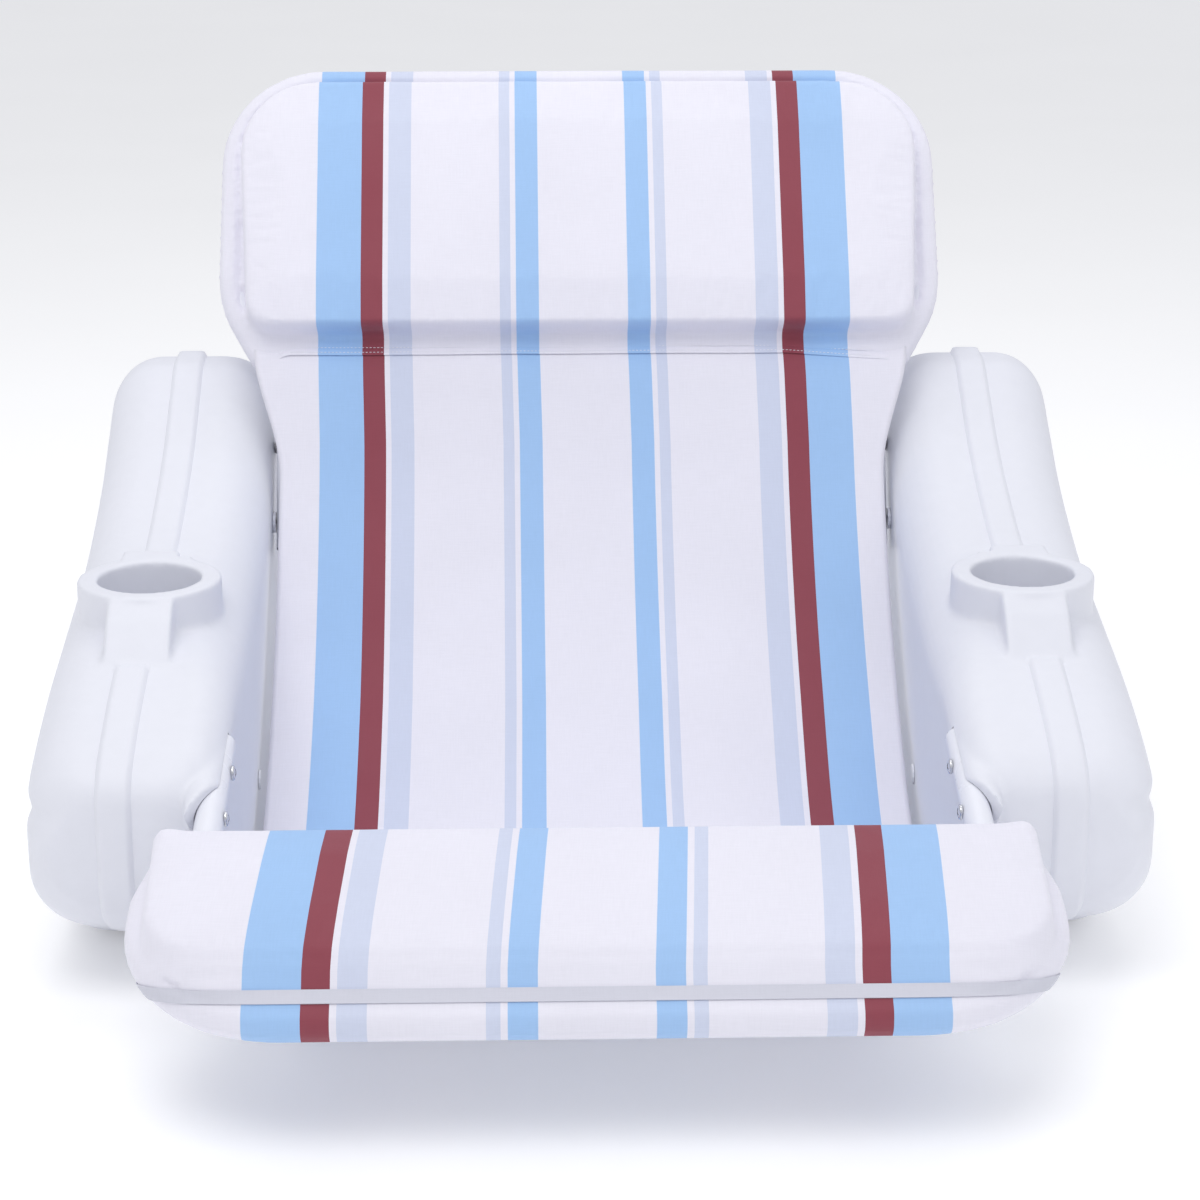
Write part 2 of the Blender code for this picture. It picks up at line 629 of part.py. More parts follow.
def shrink(corners, inset):
    """The same corners moved in by inset."""
    out = []
    last = len(corners) - 1
    for i, (x, v, r) in enumerate(corners):
        if i == 0:
            v += inset
        elif i == last:
            v -= inset
        out.append((x - inset, v, max(r - inset, 0.001)))
    return out


def make_foam(name, frame, raised, face, core):
    """Foam block: the raised part, and a narrower core between the tubes."""
    foam = prism(name, pad_outline(shrink(raised, CLOTH + FOAM_SLACK)), TUBE_R + GAP,
                 face - CLOTH - FOAM_CORE_SLACK, frame, POCKET_INNER_BEVEL, "foam")
    half, low, high = core
    corners = [(half, low, FOAM_CORE_R), (half, high, FOAM_CORE_R)]
    middle = prism(name + "_core", pad_outline(corners), FOAM_CORE_SLACK + CLOTH - SLEEVE_HALF,
                   SLEEVE_HALF - CLOTH - GAP, frame, cutter=True)
    boolean(foam, middle, "UNION")


def make_headrest():
    half, low, high, face = HEAD_PAD
    wrap = COVER_WRAP
    sleeve = [(HEAD_LOW_X + wrap, HEAD_LOW_V, 0.012),
              (HEAD_TOP_X + wrap, HEAD_TURN_V - 0.040, 0.11),
              (HEAD_TOP_X + wrap, HEAD_BAR_V + wrap, HEAD_BEND_R + wrap)]
    raised = [(half - HEAD_PAD_TAPER, low, 0.022), (half, high, 0.066)]
    leg = [HEAD_FRAME @ Vector((HEAD_LOW_X + 0.004, 0.0085, 0)),
           HEAD_FRAME @ Vector((HEAD_LOW_X, 0, 0))] + back_leg()[:2]
    make_cover("head_cover", HEAD_FRAME, sleeve, raised, face, leg)
    make_foam("head_foam", HEAD_FRAME, raised, face, (0.268, 0.004, high - 0.002))
    make_piping("head_piping", HEAD_FRAME, raised)


def make_bolster():
    half, low, high, face = BOLSTER_PAD
    wrap = COVER_WRAP
    sleeve = [(BOLSTER_X + wrap, -wrap, BOLSTER_BEND_R + wrap),
              (BOLSTER_X + wrap, SEAT_LEG_V[0] + 0.006, 0.04),
              (BOLSTER_REAR_X, BOLSTER_REAR_V, 0.012)]
    raised = [(half, low, 0.050), (half, high, 0.014)]
    leg = [BOLSTER_FRAME @ Vector((x, v, 0)) for x, v in seat_leg()[2:5]]
    make_cover("bolster_cover", BOLSTER_FRAME, sleeve, raised, face, leg)
    make_foam("bolster_foam", BOLSTER_FRAME, raised, face, (0.255, 0.014, 0.166))
    make_piping("bolster_piping", BOLSTER_FRAME, raised)


def make_piping(name, frame, raised):
    """Piping round the foot of a raised pocket."""
    loop = pad_outline(shrink(raised, -PIPING_R - GAP))
    spot = SLEEVE_HALF + PIPING_R + GAP
    mesh = curve_tube(name, [frame @ Vector((x, v, spot)) for x, v in loop], PIPING_R, True, 1)
    obj = new_object(name, mesh, "piping")
    shade(obj)


# --------------------------------------------------------------------- sling
def sling_half_width(fraction):
    """Half width of the sling, 0 at the headrest and 1 at the bolster."""
    head = SLING_HEAD_HALF + (SLING_HALF - SLING_HEAD_HALF) * smooth_step(fraction / 0.16)
    neck = smooth_step((fraction - 0.72) / 0.16)
    return head + (SLING_NECK_HALF - head) * neck


def sling_panel(name, first, last):
    """One sheet of the sling between two of its side-view points."""
    steps = 3
    line = spline_through(SLING_POINTS, steps)
    total = len(line) - 1
    start, end = first * steps, last * steps
    bm = bmesh.new()
    rows = []
    for i in range(start, end + 1):
        before, after = line[max(i - 1, 0)], line[min(i + 1, total)]
        along = (after - before).normalized()
        point = line[i]
        if i == start and first > 0:
            point = point + along * GAP
        half = sling_half_width(i / total)
        rows.append([bm.verts.new(place(side * half, *point)) for side in (-1, 1)])
    for a, b in zip(rows, rows[1:]):
        bm.faces.new((a[0], b[0], b[1], a[1]))
    obj = bm_object(name, bm, "cloth")
    thick = obj.modifiers.new("thickness", "SOLIDIFY")
    thick.thickness = CLOTH
    thick.offset = 1.0
    return obj


def make_sling():
    sling_panel("sling_back_panel", 0, SLING_SPLIT)
    sling_panel("sling_seat_panel", SLING_SPLIT, len(SLING_POINTS) - 1)


# ----------------------------------------------------------------------- run
SIDES = (("left", -1), ("right", 1))


def main():
    global PARTS, CUTTERS
    clear_scene()
    PARTS = make_collection(OBJECT_NAME)
    CUTTERS = make_collection("cutters")
    make_material("arm_plastic", (0.82, 0.83, 0.88), 0.45)
    make_material("frame_paint", (0.80, 0.81, 0.84), 0.35)
    make_material("trim_plastic", (0.12, 0.12, 0.13), 0.5)
    make_material("steel", (0.62, 0.62, 0.64), 0.25, 1.0)
    make_material("cloth", (0.80, 0.81, 0.88), 0.8)
    make_material("piping", (0.66, 0.67, 0.72), 0.7)
    make_material("foam", (0.75, 0.75, 0.72), 0.9)
    for label, side in SIDES:
        make_arm(label, side)
    make_seat_frame()
    make_back_frame()
    make_fasteners()
    make_headrest()
    make_bolster()
    make_sling()


main()
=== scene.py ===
"""Looks of the rigid-armed floating lounge chair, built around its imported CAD.

Frame: X across the chair, Y from the foot end (-Y) to the head end (+Y), Z up,
in metres. Side-view points are (h, z), as in the CAD source: h metres behind
the front edge of the bolster's top and z metres above it.
"""
import math

import bmesh
import bpy
import numpy as np
from mathutils import Matrix, Vector, noise


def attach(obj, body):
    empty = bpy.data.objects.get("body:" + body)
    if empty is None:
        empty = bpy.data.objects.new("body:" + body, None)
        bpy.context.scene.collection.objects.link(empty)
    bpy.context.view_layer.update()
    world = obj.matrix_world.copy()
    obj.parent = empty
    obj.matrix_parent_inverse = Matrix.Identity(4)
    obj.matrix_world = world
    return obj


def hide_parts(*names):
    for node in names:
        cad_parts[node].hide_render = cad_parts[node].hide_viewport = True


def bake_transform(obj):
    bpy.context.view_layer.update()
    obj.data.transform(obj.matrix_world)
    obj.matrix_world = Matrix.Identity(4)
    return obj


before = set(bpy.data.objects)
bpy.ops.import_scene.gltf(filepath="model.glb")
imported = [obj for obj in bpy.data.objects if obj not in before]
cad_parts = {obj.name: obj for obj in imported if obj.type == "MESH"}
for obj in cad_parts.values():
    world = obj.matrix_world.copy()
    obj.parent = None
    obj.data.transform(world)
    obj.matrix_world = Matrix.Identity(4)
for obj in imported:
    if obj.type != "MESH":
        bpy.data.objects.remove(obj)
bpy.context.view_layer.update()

# ---------------------------------------------------------------- dimensions
EDGE_Y, EDGE_Z = -0.4336, 0.140
SIDES = (("left", -1), ("right", 1))

ARM_IN, ARM_OUT = 0.279, 0.4310
ARM_NOSE_H, ARM_TAIL_H = 0.203, 0.802
ARM_TOP = ((0.203, 0.006), (0.2045, 0.020), (0.211, 0.034), (0.224, 0.046), (0.245, 0.0565),
           (0.286, 0.0725), (0.352, 0.0915), (0.437, 0.109), (0.534, 0.1295), (0.600, 0.151),
           (0.669, 0.1805), (0.723, 0.2135), (0.765, 0.2365), (0.788, 0.238), (0.799, 0.227),
           (0.802, 0.206))
ARM_BASE = ((0.203, -0.036), (0.2045, -0.052), (0.211, -0.067), (0.224, -0.080), (0.245, -0.092),
            (0.286, -0.112), (0.352, -0.140), (0.600, -0.140), (0.640, -0.118), (0.669, -0.084),
            (0.723, 0.008), (0.765, 0.088), (0.788, 0.134), (0.799, 0.156), (0.802, 0.170))
ARM_END_ROUND = 0.040
ARM_NOSE_PINCH, ARM_TAIL_PINCH = 0.026, 0.006
ARM_RADII = (0.026, 0.046, 0.043, 0.050)   # inner base, outer base, outer top, inner top
ARM_FRONT_R = 0.032        # the inner top rounding ahead of the cup, over the seat frame's leg
ARM_VOXEL, ARM_SMOOTHING = 0.0025, 5
RIB_X, RIB_HALF, RIB_H = 0.360, 0.0118, 0.0034
RIB_TAIL_FROM, RIB_TAIL_REACH, RIB_TAIL_MORE = 0.765, 0.02, 0.5     # stands prouder at the tail
WAIST_Z, WAIST_HALF, WAIST_DEPTH = 0.011, 0.0085, 0.0045
WAIST_FADE_FROM, WAIST_FADE_REACH = 0.34, 0.16

CUP_X, CUP_H = 0.358, 0.437
CUP_BORE_R, CUP_RING_R, CUP_RIM_Z, CUP_DEPTH = 0.042, 0.0585, 0.131, 0.068
RAMP_HALF, RAMP_FRONT_H = 0.0265, 0.335
RAMP_REAR_BACK, RAMP_LOW_Z, RAMP_DROP = 0.045, 0.070, 0.0015
RING_LOW_Z, BORE_TOP_Z = 0.080, 0.20
REST_FRONT_H, REST_REAR_H, REST_LOW_Z, REST_HALF = 0.470, 0.508, 0.100, 0.030
NOTCH_FRONT_H, NOTCH_Z = 0.4900, 0.1245        # corner cut out of the rest pad behind the ring
NOTCH_NEAR, NOTCH_FAR = 0.017, 0.034

TUBE_R = 0.011
BACK_LEG_X, SEAT_LEG_X = 0.265, 0.2865
CHANNEL_GAP = 0.0008
SWELL_H, SWELL_SLANT = 0.187, 0.020        # front end of the swelling over the leg, cut aslant
SWELL_OUT, SWELL_UP, SWELL_WALL = 0.0065, 0.0035, 0.0030
SWELL_PAST, SWELL_SLANT_REACH = 0.040, 0.060
SWELL_SPREAD, SWELL_SINK = 0.0060, 0.0140      # how far it leans out and sinks past the tube's end
HINGE_H, HINGE_Z = 0.672, 0.110
BACK_LEG_END = 0.024

HEAD_TILT, HEAD_H, HEAD_Z = math.radians(56.3), 0.735, 0.247
HEAD_BAR_V, HEAD_BEND_R = 0.273, 0.080
HEAD_TOP_X, HEAD_LOW_X, HEAD_TURN_V, HEAD_LOW_V = 0.3170, 0.2830, 0.090, -0.012
HEAD_PAD = (0.3135, 0.0160, 0.258, 0.044)        # half width, low v, high v, face w

BOLSTER_TILT, BOLSTER_H, BOLSTER_Z = math.radians(15.7), -0.020, -0.045
BOLSTER_BEND_R, BOLSTER_X = 0.098, 0.3205
BOLSTER_REAR_V, BOLSTER_REAR_X = 0.175, 0.322
BOLSTER_PAD = (0.3150, 0.0290, 0.167, 0.0375)
SEAT_LEG_V = (0.118, 0.200, 0.318)
SEAT_SCREW_V = (0.224, 0.281)

SLEEVE_HALF = 0.0145
SLEEVE_WRAP = 0.0143       # a cover's outline past its tube's centre line
PAD_VOXEL, PAD_SMOOTHING = 0.0036, 1
SIM_PRESSURE, SIM_FRAMES, SIM_GIVE = 3.0, 20, -0.004
HEAD_PUFF, BOLSTER_PUFF = 0.0045, 0.0040       # furthest that the simulation moves the cloth
SEAM_V = -0.0030           # where the sling is sewn under the headrest, up its slope
SLING_POINTS = ((0.7095, 0.2360), (0.694, 0.205), (0.664, 0.150),
                (0.628, 0.100), (0.592, 0.058), (0.556, 0.022), (0.515, -0.013),
                (0.470, -0.047), (0.430, -0.072), (0.390, -0.089), (0.335, -0.098),
                (0.280, -0.090), (0.230, -0.066), (0.190, -0.038), (0.1555, -0.006))
SLING_HALF, SLING_HEAD_HALF, SLING_NECK_HALF = 0.271, 0.296, 0.238
SLING_THICK = 0.0012
SCREW_HEAD_R, SCREW_HEAD_T = 0.0060, 0.0034

# Print on the cloth: distance from the middle where each colour starts, metres
WHITE = (0.792, 0.782, 0.862)
BLUE = (0.350, 0.545, 0.840)
MAROON = (0.262, 0.052, 0.075)
PALE = (0.610, 0.655, 0.800)
STRIPES = ((0.0, WHITE), (0.040, BLUE), (0.060, WHITE), (0.065, PALE), (0.075, WHITE),
           (0.155, PALE), (0.175, WHITE), (0.180, MAROON), (0.200, BLUE), (0.240, WHITE))
STRIPE_SPAN = 0.25
WEAVE_PITCH = 0.0011
# How far the print sits towards +X: by v on the pads, by share of its length on the sling
HEAD_SHIFT = ((0.0, 0.0022), (0.25, 0.0016))
BOLSTER_SHIFT = ((0.020, -0.0030), (0.165, 0.0055))
SLING_SHIFT = ((0.0, 0.0025), (0.12, 0.0045), (0.45, 0.0055), (1.0, 0.0040))
GREY_TAPE = (0.610, 0.615, 0.690)
PLASTIC_WHITE = (0.742, 0.752, 0.812)

scene = bpy.context.scene


# ------------------------------------------------------------------- helpers
def place(x, h, z):
    return Vector((x, h + EDGE_Y, z + EDGE_Z))


def tilted(tilt, h, z):
    """Matrix of a pad's own frame: x across, v up its slope, w out of its face."""
    return Matrix.Translation(place(0.0, h, z)) @ Matrix.Rotation(tilt, 4, "X")


HEAD_FRAME = tilted(HEAD_TILT, HEAD_H, HEAD_Z)
BOLSTER_FRAME = tilted(BOLSTER_TILT, BOLSTER_H, BOLSTER_Z)


def ease(t):
    t = np.clip(t, 0.0, 1.0)
    return t * t * (3 - 2 * t)


def new_object(name, mesh, mat=None):
    obj = bpy.data.objects.new(name, mesh)
    scene.collection.objects.link(obj)
    if mat:
        mesh.materials.clear()
        mesh.materials.append(mat)
    return obj


def bm_object(name, bm, mat=None):
    bmesh.ops.recalc_face_normals(bm, faces=bm.faces)
    mesh = bpy.data.meshes.new(name)
    bm.to_mesh(mesh)
    bm.free()
    return new_object(name, mesh, mat)


def bake(obj):
    """Apply every modifier of an object."""
    bpy.context.view_layer.update()
    graph = bpy.context.evaluated_depsgraph_get()
    mesh = bpy.data.meshes.new_from_object(obj.evaluated_get(graph))
    obj.modifiers.clear()
    obj.data = mesh
    return obj


def boolean(obj, tool, operation):
    mod = obj.modifiers.new(operation, "BOOLEAN")
    mod.operation = operation
    mod.solver = "EXACT"
    mod.object = tool
    bake(obj)
    bpy.data.objects.remove(tool, do_unlink=True)


def remesh(obj, voxel, smoothing):
    mod = obj.modifiers.new("voxels", "REMESH")
    mod.mode = "VOXEL"
    mod.voxel_size = voxel
    if smoothing:
        soft = obj.modifiers.new("soften", "SMOOTH")
        soft.factor = 0.5
        soft.iterations = smoothing
    return bake(obj)


def subdivide(obj, levels=1):
    mod = obj.modifiers.new("finer", "SUBSURF")
    mod.levels = mod.render_levels = levels
    return bake(obj)


def coords(obj):
    co = np.empty(len(obj.data.vertices) * 3)
    obj.data.vertices.foreach_get("co", co)
    return co.reshape(-1, 3)


def normals(obj):
    out = np.empty(len(obj.data.vertices) * 3, np.float32)
    obj.data.vertex_normals.foreach_get("vector", out)
    return out.reshape(-1, 3).astype(float)


def set_coords(obj, co):
    obj.data.vertices.foreach_set("co", np.ascontiguousarray(co, float).ravel())
    obj.data.update()


def to_frame(co, matrix):
    inverse = np.array(matrix.inverted())
    return co @ inverse[:3, :3].T + inverse[:3, 3]


def from_frame(co, matrix):
    m = np.array(matrix)
    return co @ m[:3, :3].T + m[:3, 3]


def smooth_noise(points, scale, seed):
    shift = Vector((seed * 7.31, seed * 3.17, seed * 5.71))
    return np.array([noise.noise(Vector(p) * scale + shift) for p in points])


def loft(rings, closed=True, caps=True):
    bm = bmesh.new()
    rows = [[bm.verts.new(p) for p in ring] for ring in rings]
    count = len(rows[0])
    for low, high in zip(rows, rows[1:]):
        for i in range(count if closed else count - 1):
            j = (i + 1) % count
            bm.faces.new((low[i], low[j], high[j], high[i]))
    if caps:
        bm.faces.new(rows[0][::-1])
        bm.faces.new(rows[-1])
    return bm


def arc(cx, cy, radius, start_deg, end_deg, steps):
    out = []
    for i in range(steps + 1):
        a = math.radians(start_deg + (end_deg - start_deg) * i / steps)
        out.append((cx + radius * math.cos(a), cy + radius * math.sin(a)))
    return out


def monotone(points):
    """Smooth curve through (h, z) points that doesn't overshoot them."""
    h, z = (np.array(v, float) for v in zip(*points))
    step, slope = np.diff(h), np.diff(z) / np.diff(h)
    tangent = np.zeros(len(h))
    for i in range(1, len(h) - 1):
        if slope[i - 1] * slope[i] > 0:
            a, b = 2 * step[i] + step[i - 1], step[i] + 2 * step[i - 1]
            tangent[i] = (a + b) / (a / slope[i - 1] + b / slope[i])
    tangent[0], tangent[-1] = slope[0], slope[-1]

    def at(where):
        i = int(np.clip(np.searchsorted(h, where) - 1, 0, len(step) - 1))
        t = min(max((where - h[i]) / step[i], 0.0), 1.0)
        a, b = 2 * t ** 3 - 3 * t ** 2 + 1, t ** 3 - 2 * t ** 2 + t
        c, d = -2 * t ** 3 + 3 * t ** 2, t ** 3 - t ** 2
        return a * z[i] + b * step[i] * tangent[i] + c * z[i + 1] + d * step[i] * tangent[i + 1]
    return at


def spline_through(points, steps):
    """Catmull-Rom curve through points, with steps spans between each pair."""
    ends = [points[0]] + list(points) + [points[-1]]
    out = []
    for i in range(len(points) - 1):
        a, b, c, d = (Vector(p) for p in ends[i:i + 4])
        for k in range(steps):
            t = k / steps
            out.append(0.5 * (2 * b + (c - a) * t + (2 * a - 5 * b + 4 * c - d) * t * t
                              + (3 * b - a - 3 * c + d) * t ** 3))
    out.append(Vector(points[-1]))
    return out


# ----------------------------------------------------------------- materials
class Shader:
    """A Principled material and short ways to add nodes to it."""

    def __init__(self, name):
        self.mat = bpy.data.materials.new(name)
        self.mat.use_nodes = True
        self.tree = self.mat.node_tree
        self.main = self.tree.nodes["Principled BSDF"]
        self.place = self.add("ShaderNodeTexCoord").outputs["Object"]

    def add(self, kind, **values):
        node = self.tree.nodes.new(kind)
        for key, value in values.items():
            setattr(node, key, value)
        return node

    def link(self, source, target):
        self.tree.links.new(source, target)

    def feed(self, socket, value):
        if isinstance(value, bpy.types.NodeSocket):
            self.link(value, socket)
        else:
            socket.default_value = value

    def maths(self, operation, a, b=0.0):
        node = self.add("ShaderNodeMath", operation=operation)
        self.feed(node.inputs[0], a)
        self.feed(node.inputs[1], b)
        return node.outputs[0]

    def noise(self, scale, detail=2.0, stretch=None, source=None):
        node = self.add("ShaderNodeTexNoise")
        node.inputs["Scale"].default_value = scale
        node.inputs["Detail"].default_value = detail
        at = source or self.place
        if stretch:
            mapping = self.add("ShaderNodeMapping")
            mapping.inputs["Scale"].default_value = stretch
            self.link(at, mapping.inputs["Vector"])
            at = mapping.outputs["Vector"]
        self.link(at, node.inputs["Vector"])
        return node.outputs["Fac"]

    def spread(self, value, low, high):
        node = self.add("ShaderNodeMapRange")
        self.link(value, node.inputs["Value"])
        node.inputs["From Min"].default_value = 0.25
        node.inputs["From Max"].default_value = 0.75
        node.inputs["To Min"].default_value = low
        node.inputs["To Max"].default_value = high
        return node.outputs["Result"]

    def shaded(self, colour, factor):
        """Colour multiplied by a varying grey."""
        node = self.add("ShaderNodeVectorMath", operation="SCALE")
        self.feed(node.inputs[0], colour)
        self.feed(node.inputs["Scale"], factor)
        return node.outputs["Vector"]

    def bump(self, height, distance, strength=1.0, under=None):
        node = self.add("ShaderNodeBump")
        node.inputs["Distance"].default_value = distance
        node.inputs["Strength"].default_value = strength
        self.link(height, node.inputs["Height"])
        if under:
            self.link(under, node.inputs["Normal"])
        return node.outputs["Normal"]

    def finish(self, colour=None, normal=None, roughness=None, **sockets):
        if colour is not None:
            self.feed(self.main.inputs["Base Color"], colour)
        if roughness is not None:
            self.feed(self.main.inputs["Roughness"], roughness)
        if normal is not None:
            self.link(normal, self.main.inputs["Normal"])
        for key, value in sockets.items():
            self.main.inputs[key.replace("_", " ")].default_value = value
        return self.mat


def weave(shader, pitch):
    """Height of a plain weave from the cloth's own metres, kept in its 'cloth' map."""
    cloth = shader.add("ShaderNodeUVMap", uv_map="cloth").outputs["UV"]
    split = shader.add("ShaderNodeSeparateXYZ")
    shader.link(cloth, split.inputs[0])
    waves = []
    for axis in ("X", "Y"):
        turns = shader.maths("MULTIPLY", split.outputs[axis], 2 * math.pi / pitch)
        waves.append(shader.maths("SINE", turns))
    crossing = shader.maths("MULTIPLY", waves[0], waves[1])
    return crossing, cloth


def cloth_material(name, stripes=True, plain=WHITE):
    s = Shader(name)
    height, cloth = weave(s, WEAVE_PITCH)
    if stripes:
        split = s.add("ShaderNodeSeparateXYZ")
        s.link(cloth, split.inputs[0])
        ramp = s.add("ShaderNodeValToRGB")
        ramp.color_ramp.interpolation = "CONSTANT"
        elements = ramp.color_ramp.elements
        while len(elements) < len(STRIPES):
            elements.new(0.5)
        for element, (start, colour) in zip(elements, STRIPES):
            element.position = start / STRIPE_SPAN
            element.color = (*colour, 1.0)
        across = s.maths("ABSOLUTE", split.outputs["X"])
        s.link(s.maths("DIVIDE", across, STRIPE_SPAN), ramp.inputs["Fac"])
        base = ramp.outputs["Color"]
    else:
        base = s.add("ShaderNodeCombineXYZ")
        for socket, value in zip(base.inputs, plain):
            socket.default_value = value
        base = base.outputs[0]
    threads = s.spread(s.noise(1.0, 1.0, (900.0, 60.0, 1.0), cloth), 0.985, 1.012)
    cross = s.spread(s.noise(1.0, 1.0, (60.0, 900.0, 1.0), cloth), 0.985, 1.012)
    mottle = s.spread(s.noise(9.0, 3.0), 0.975, 1.015)
    tone = s.maths("MULTIPLY", s.maths("MULTIPLY", threads, cross), mottle)
    creases = s.bump(s.noise(26.0, 3.0), 0.0009, 0.35)
    normal = s.bump(height, 0.00012, 0.5, creases)
    rough = s.spread(s.noise(14.0, 2.0), 0.60, 0.74)
    return s.finish(s.shaded(base, tone), normal, rough, Sheen_Weight=0.12,
                    Sheen_Roughness=0.5, Specular_IOR_Level=0.35)


def plastic_material(name, colour, low, high, grain=0.00006):
    s = Shader(name)
    tone = s.spread(s.noise(5.0, 4.0), 0.975, 1.012)
    specks = s.spread(s.noise(90.0, 2.0), 0.99, 1.006)
    base = s.add("ShaderNodeCombineXYZ")
    for socket, value in zip(base.inputs, colour):
        socket.default_value = value
    shade = s.shaded(base.outputs[0], s.maths("MULTIPLY", tone, specks))
    wave = s.bump(s.noise(11.0, 1.0), 0.0012, 0.25)
    normal = s.bump(s.noise(700.0, 2.0), grain, 0.6, wave)
    rough = s.spread(s.noise(16.0, 4.0), low, high)
    return s.finish(shade, normal, rough, Specular_IOR_Level=0.45)


def metal_material(name):
    s = Shader(name)
    turning = s.noise(1.0, 3.0, (900.0, 60.0, 60.0))
    rough = s.spread(turning, 0.16, 0.34)
    base = s.add("ShaderNodeCombineXYZ")
    for socket, value in zip(base.inputs, (0.68, 0.69, 0.72)):
        socket.default_value = value
    shade = s.shaded(base.outputs[0], s.spread(s.noise(300.0, 2.0), 0.88, 1.04))
    return s.finish(shade, s.bump(turning, 0.00003, 0.5), rough, Metallic=1.0)


CLOTH = cloth_material("striped_cloth")
TAPE = cloth_material("grey_tape", stripes=False, plain=GREY_TAPE)
THREAD = cloth_material("white_thread", stripes=False, plain=(0.80, 0.80, 0.86))
PLASTIC = plastic_material("moulded_plastic", PLASTIC_WHITE, 0.40, 0.54)
TRIM = plastic_material("trim_plastic_grained", (0.30, 0.30, 0.33), 0.42, 0.60)
PAINT = plastic_material("painted_tube", (0.78, 0.79, 0.85), 0.24, 0.36, 0.00002)
STEEL = metal_material("bright_steel")


def cloth_map(obj, across, along):
    """UV map of a cloth mesh in metres, which its weave follows."""
    layer = obj.data.uv_layers.get("cloth") or obj.data.uv_layers.new(name="cloth")
    loops = np.empty(len(obj.data.loops), np.int32)
    obj.data.loops.foreach_get("vertex_index", loops)
    uv = np.stack((across[loops], along[loops]), 1)
    layer.data.foreach_set("uv", uv.astype(np.float32).ravel())


def slope_map(obj, matrix, shift=((0.0, 0.0), (1.0, 0.0))):
    """Cloth map of a piece from its pad's frame; shift is (v, how far the print sits to +X)."""
    local = to_frame(coords(obj), matrix)
    moved = np.interp(local[:, 1], *zip(*shift))
    cloth_map(obj, local[:, 0] - moved, local[:, 1] + local[:, 2] * 0.9)


# ---------------------------------------------------------------- arm floats
top_line, base_line = monotone(ARM_TOP), monotone(ARM_BASE)


def arm_ring(h):
    top, base = top_line(h), base_line(h)
    from_nose, from_tail = h - ARM_NOSE_H, ARM_TAIL_H - h
    pinch = 0.0
    if min(from_nose, from_tail) < ARM_END_ROUND:
        most = ARM_NOSE_PINCH if from_nose < from_tail else ARM_TAIL_PINCH
        t = 1 - max(min(from_nose, from_tail), 0.0) / ARM_END_ROUND
        pinch = most * (1 - math.sqrt(max(1 - t * t, 0.0)))
    inner, outer = ARM_IN + pinch, ARM_OUT - pinch
    limit = (top - base) * 0.48
    ib, ob, ot, it = (min(r, limit) for r in ARM_RADII)
    it -= (it - min(ARM_FRONT_R, limit)) * (1 - float(ease((h - 0.30) / 0.12)))
    ring = arc(inner + ib, base + ib, ib, 180, 270, 8)
    ring += arc(outer - ob, base + ob, ob, 270, 360, 10)
    ring += arc(outer - ot, top - ot, ot, 0, 90, 10)
    ring += arc(inner + it, top - it, it, 90, 180, 10)
    return [place(x, h, z) for x, z in ring]


def box_between(name, corners, x_low, x_high):
    """Prism across X over a side-view outline."""
    return bm_object(name, loft([[place(x, h, z) for h, z in corners] for x in (x_low, x_high)]))


def upright_cylinder(name, radius, low, high):
    rings = [[place(CUP_X + x, CUP_H + h, z) for x, h in arc(0, 0, radius, 0, 357.5, 143)]
             for z in (low, high)]
    return bm_object(name, loft(rings))


def tube_mesh(name, path, radius, sides=24, mat=None, caps=True):
    """Round tube along a path, without twist."""
    rings = []
    up = None
    for i, point in enumerate(path):
        ahead = path[min(i + 1, len(path) - 1)] - path[max(i - 1, 0)]
        ahead.normalize()
        if up is None:
            up = ahead.orthogonal().normalized()
        up = (up - ahead * up.dot(ahead)).normalized()
        side = ahead.cross(up)
        rings.append([point + (up * math.cos(a) + side * math.sin(a)) * radius
                      for a in (2 * math.pi * k / sides for k in range(sides))])
    return bm_object(name, loft(rings, caps=caps), mat)


def seat_leg_path(steps=16):
    bend_from, bend_to, end = SEAT_LEG_V
    leg = []
    for i in range(steps + 1):
        t = i / steps
        leg.append((BOLSTER_X + (SEAT_LEG_X - BOLSTER_X) * float(ease(t)),
                    bend_from + (bend_to - bend_from) * t))
    for i in range(1, 9):
        leg.append((SEAT_LEG_X, bend_to + (end - bend_to) * i / 8))
    return leg


def leg_swell(path):
    """Swelling of the arm's shell over the leg sunk in it, its front end cut aslant."""
    along = (path[-1] - path[-2]).normalized()
    spine = [p for p in path if p.y - EDGE_Y > SWELL_H]
    spine += [path[-1] + along * step for step in (0.010, 0.020, 0.030, SWELL_PAST)]
    rings = []
    for p in spine:
        past = float(ease((p - path[-1]).dot(along) / SWELL_PAST))
        slant = SWELL_SLANT * max(1 - (p - spine[0]).length / SWELL_SLANT_REACH, 0.0)
        centre = p + Vector((SWELL_OUT + SWELL_SPREAD * past, 0, SWELL_UP - SWELL_SINK * past))
        radius = TUBE_R + SWELL_WALL
        rings.append([centre + Vector((math.cos(a), 0, math.sin(a))) * radius
                      - along * (slant * math.cos(a))
                      for a in (2 * math.pi * k / 32 for k in range(32))])
    return bm_object("swell", loft(rings))


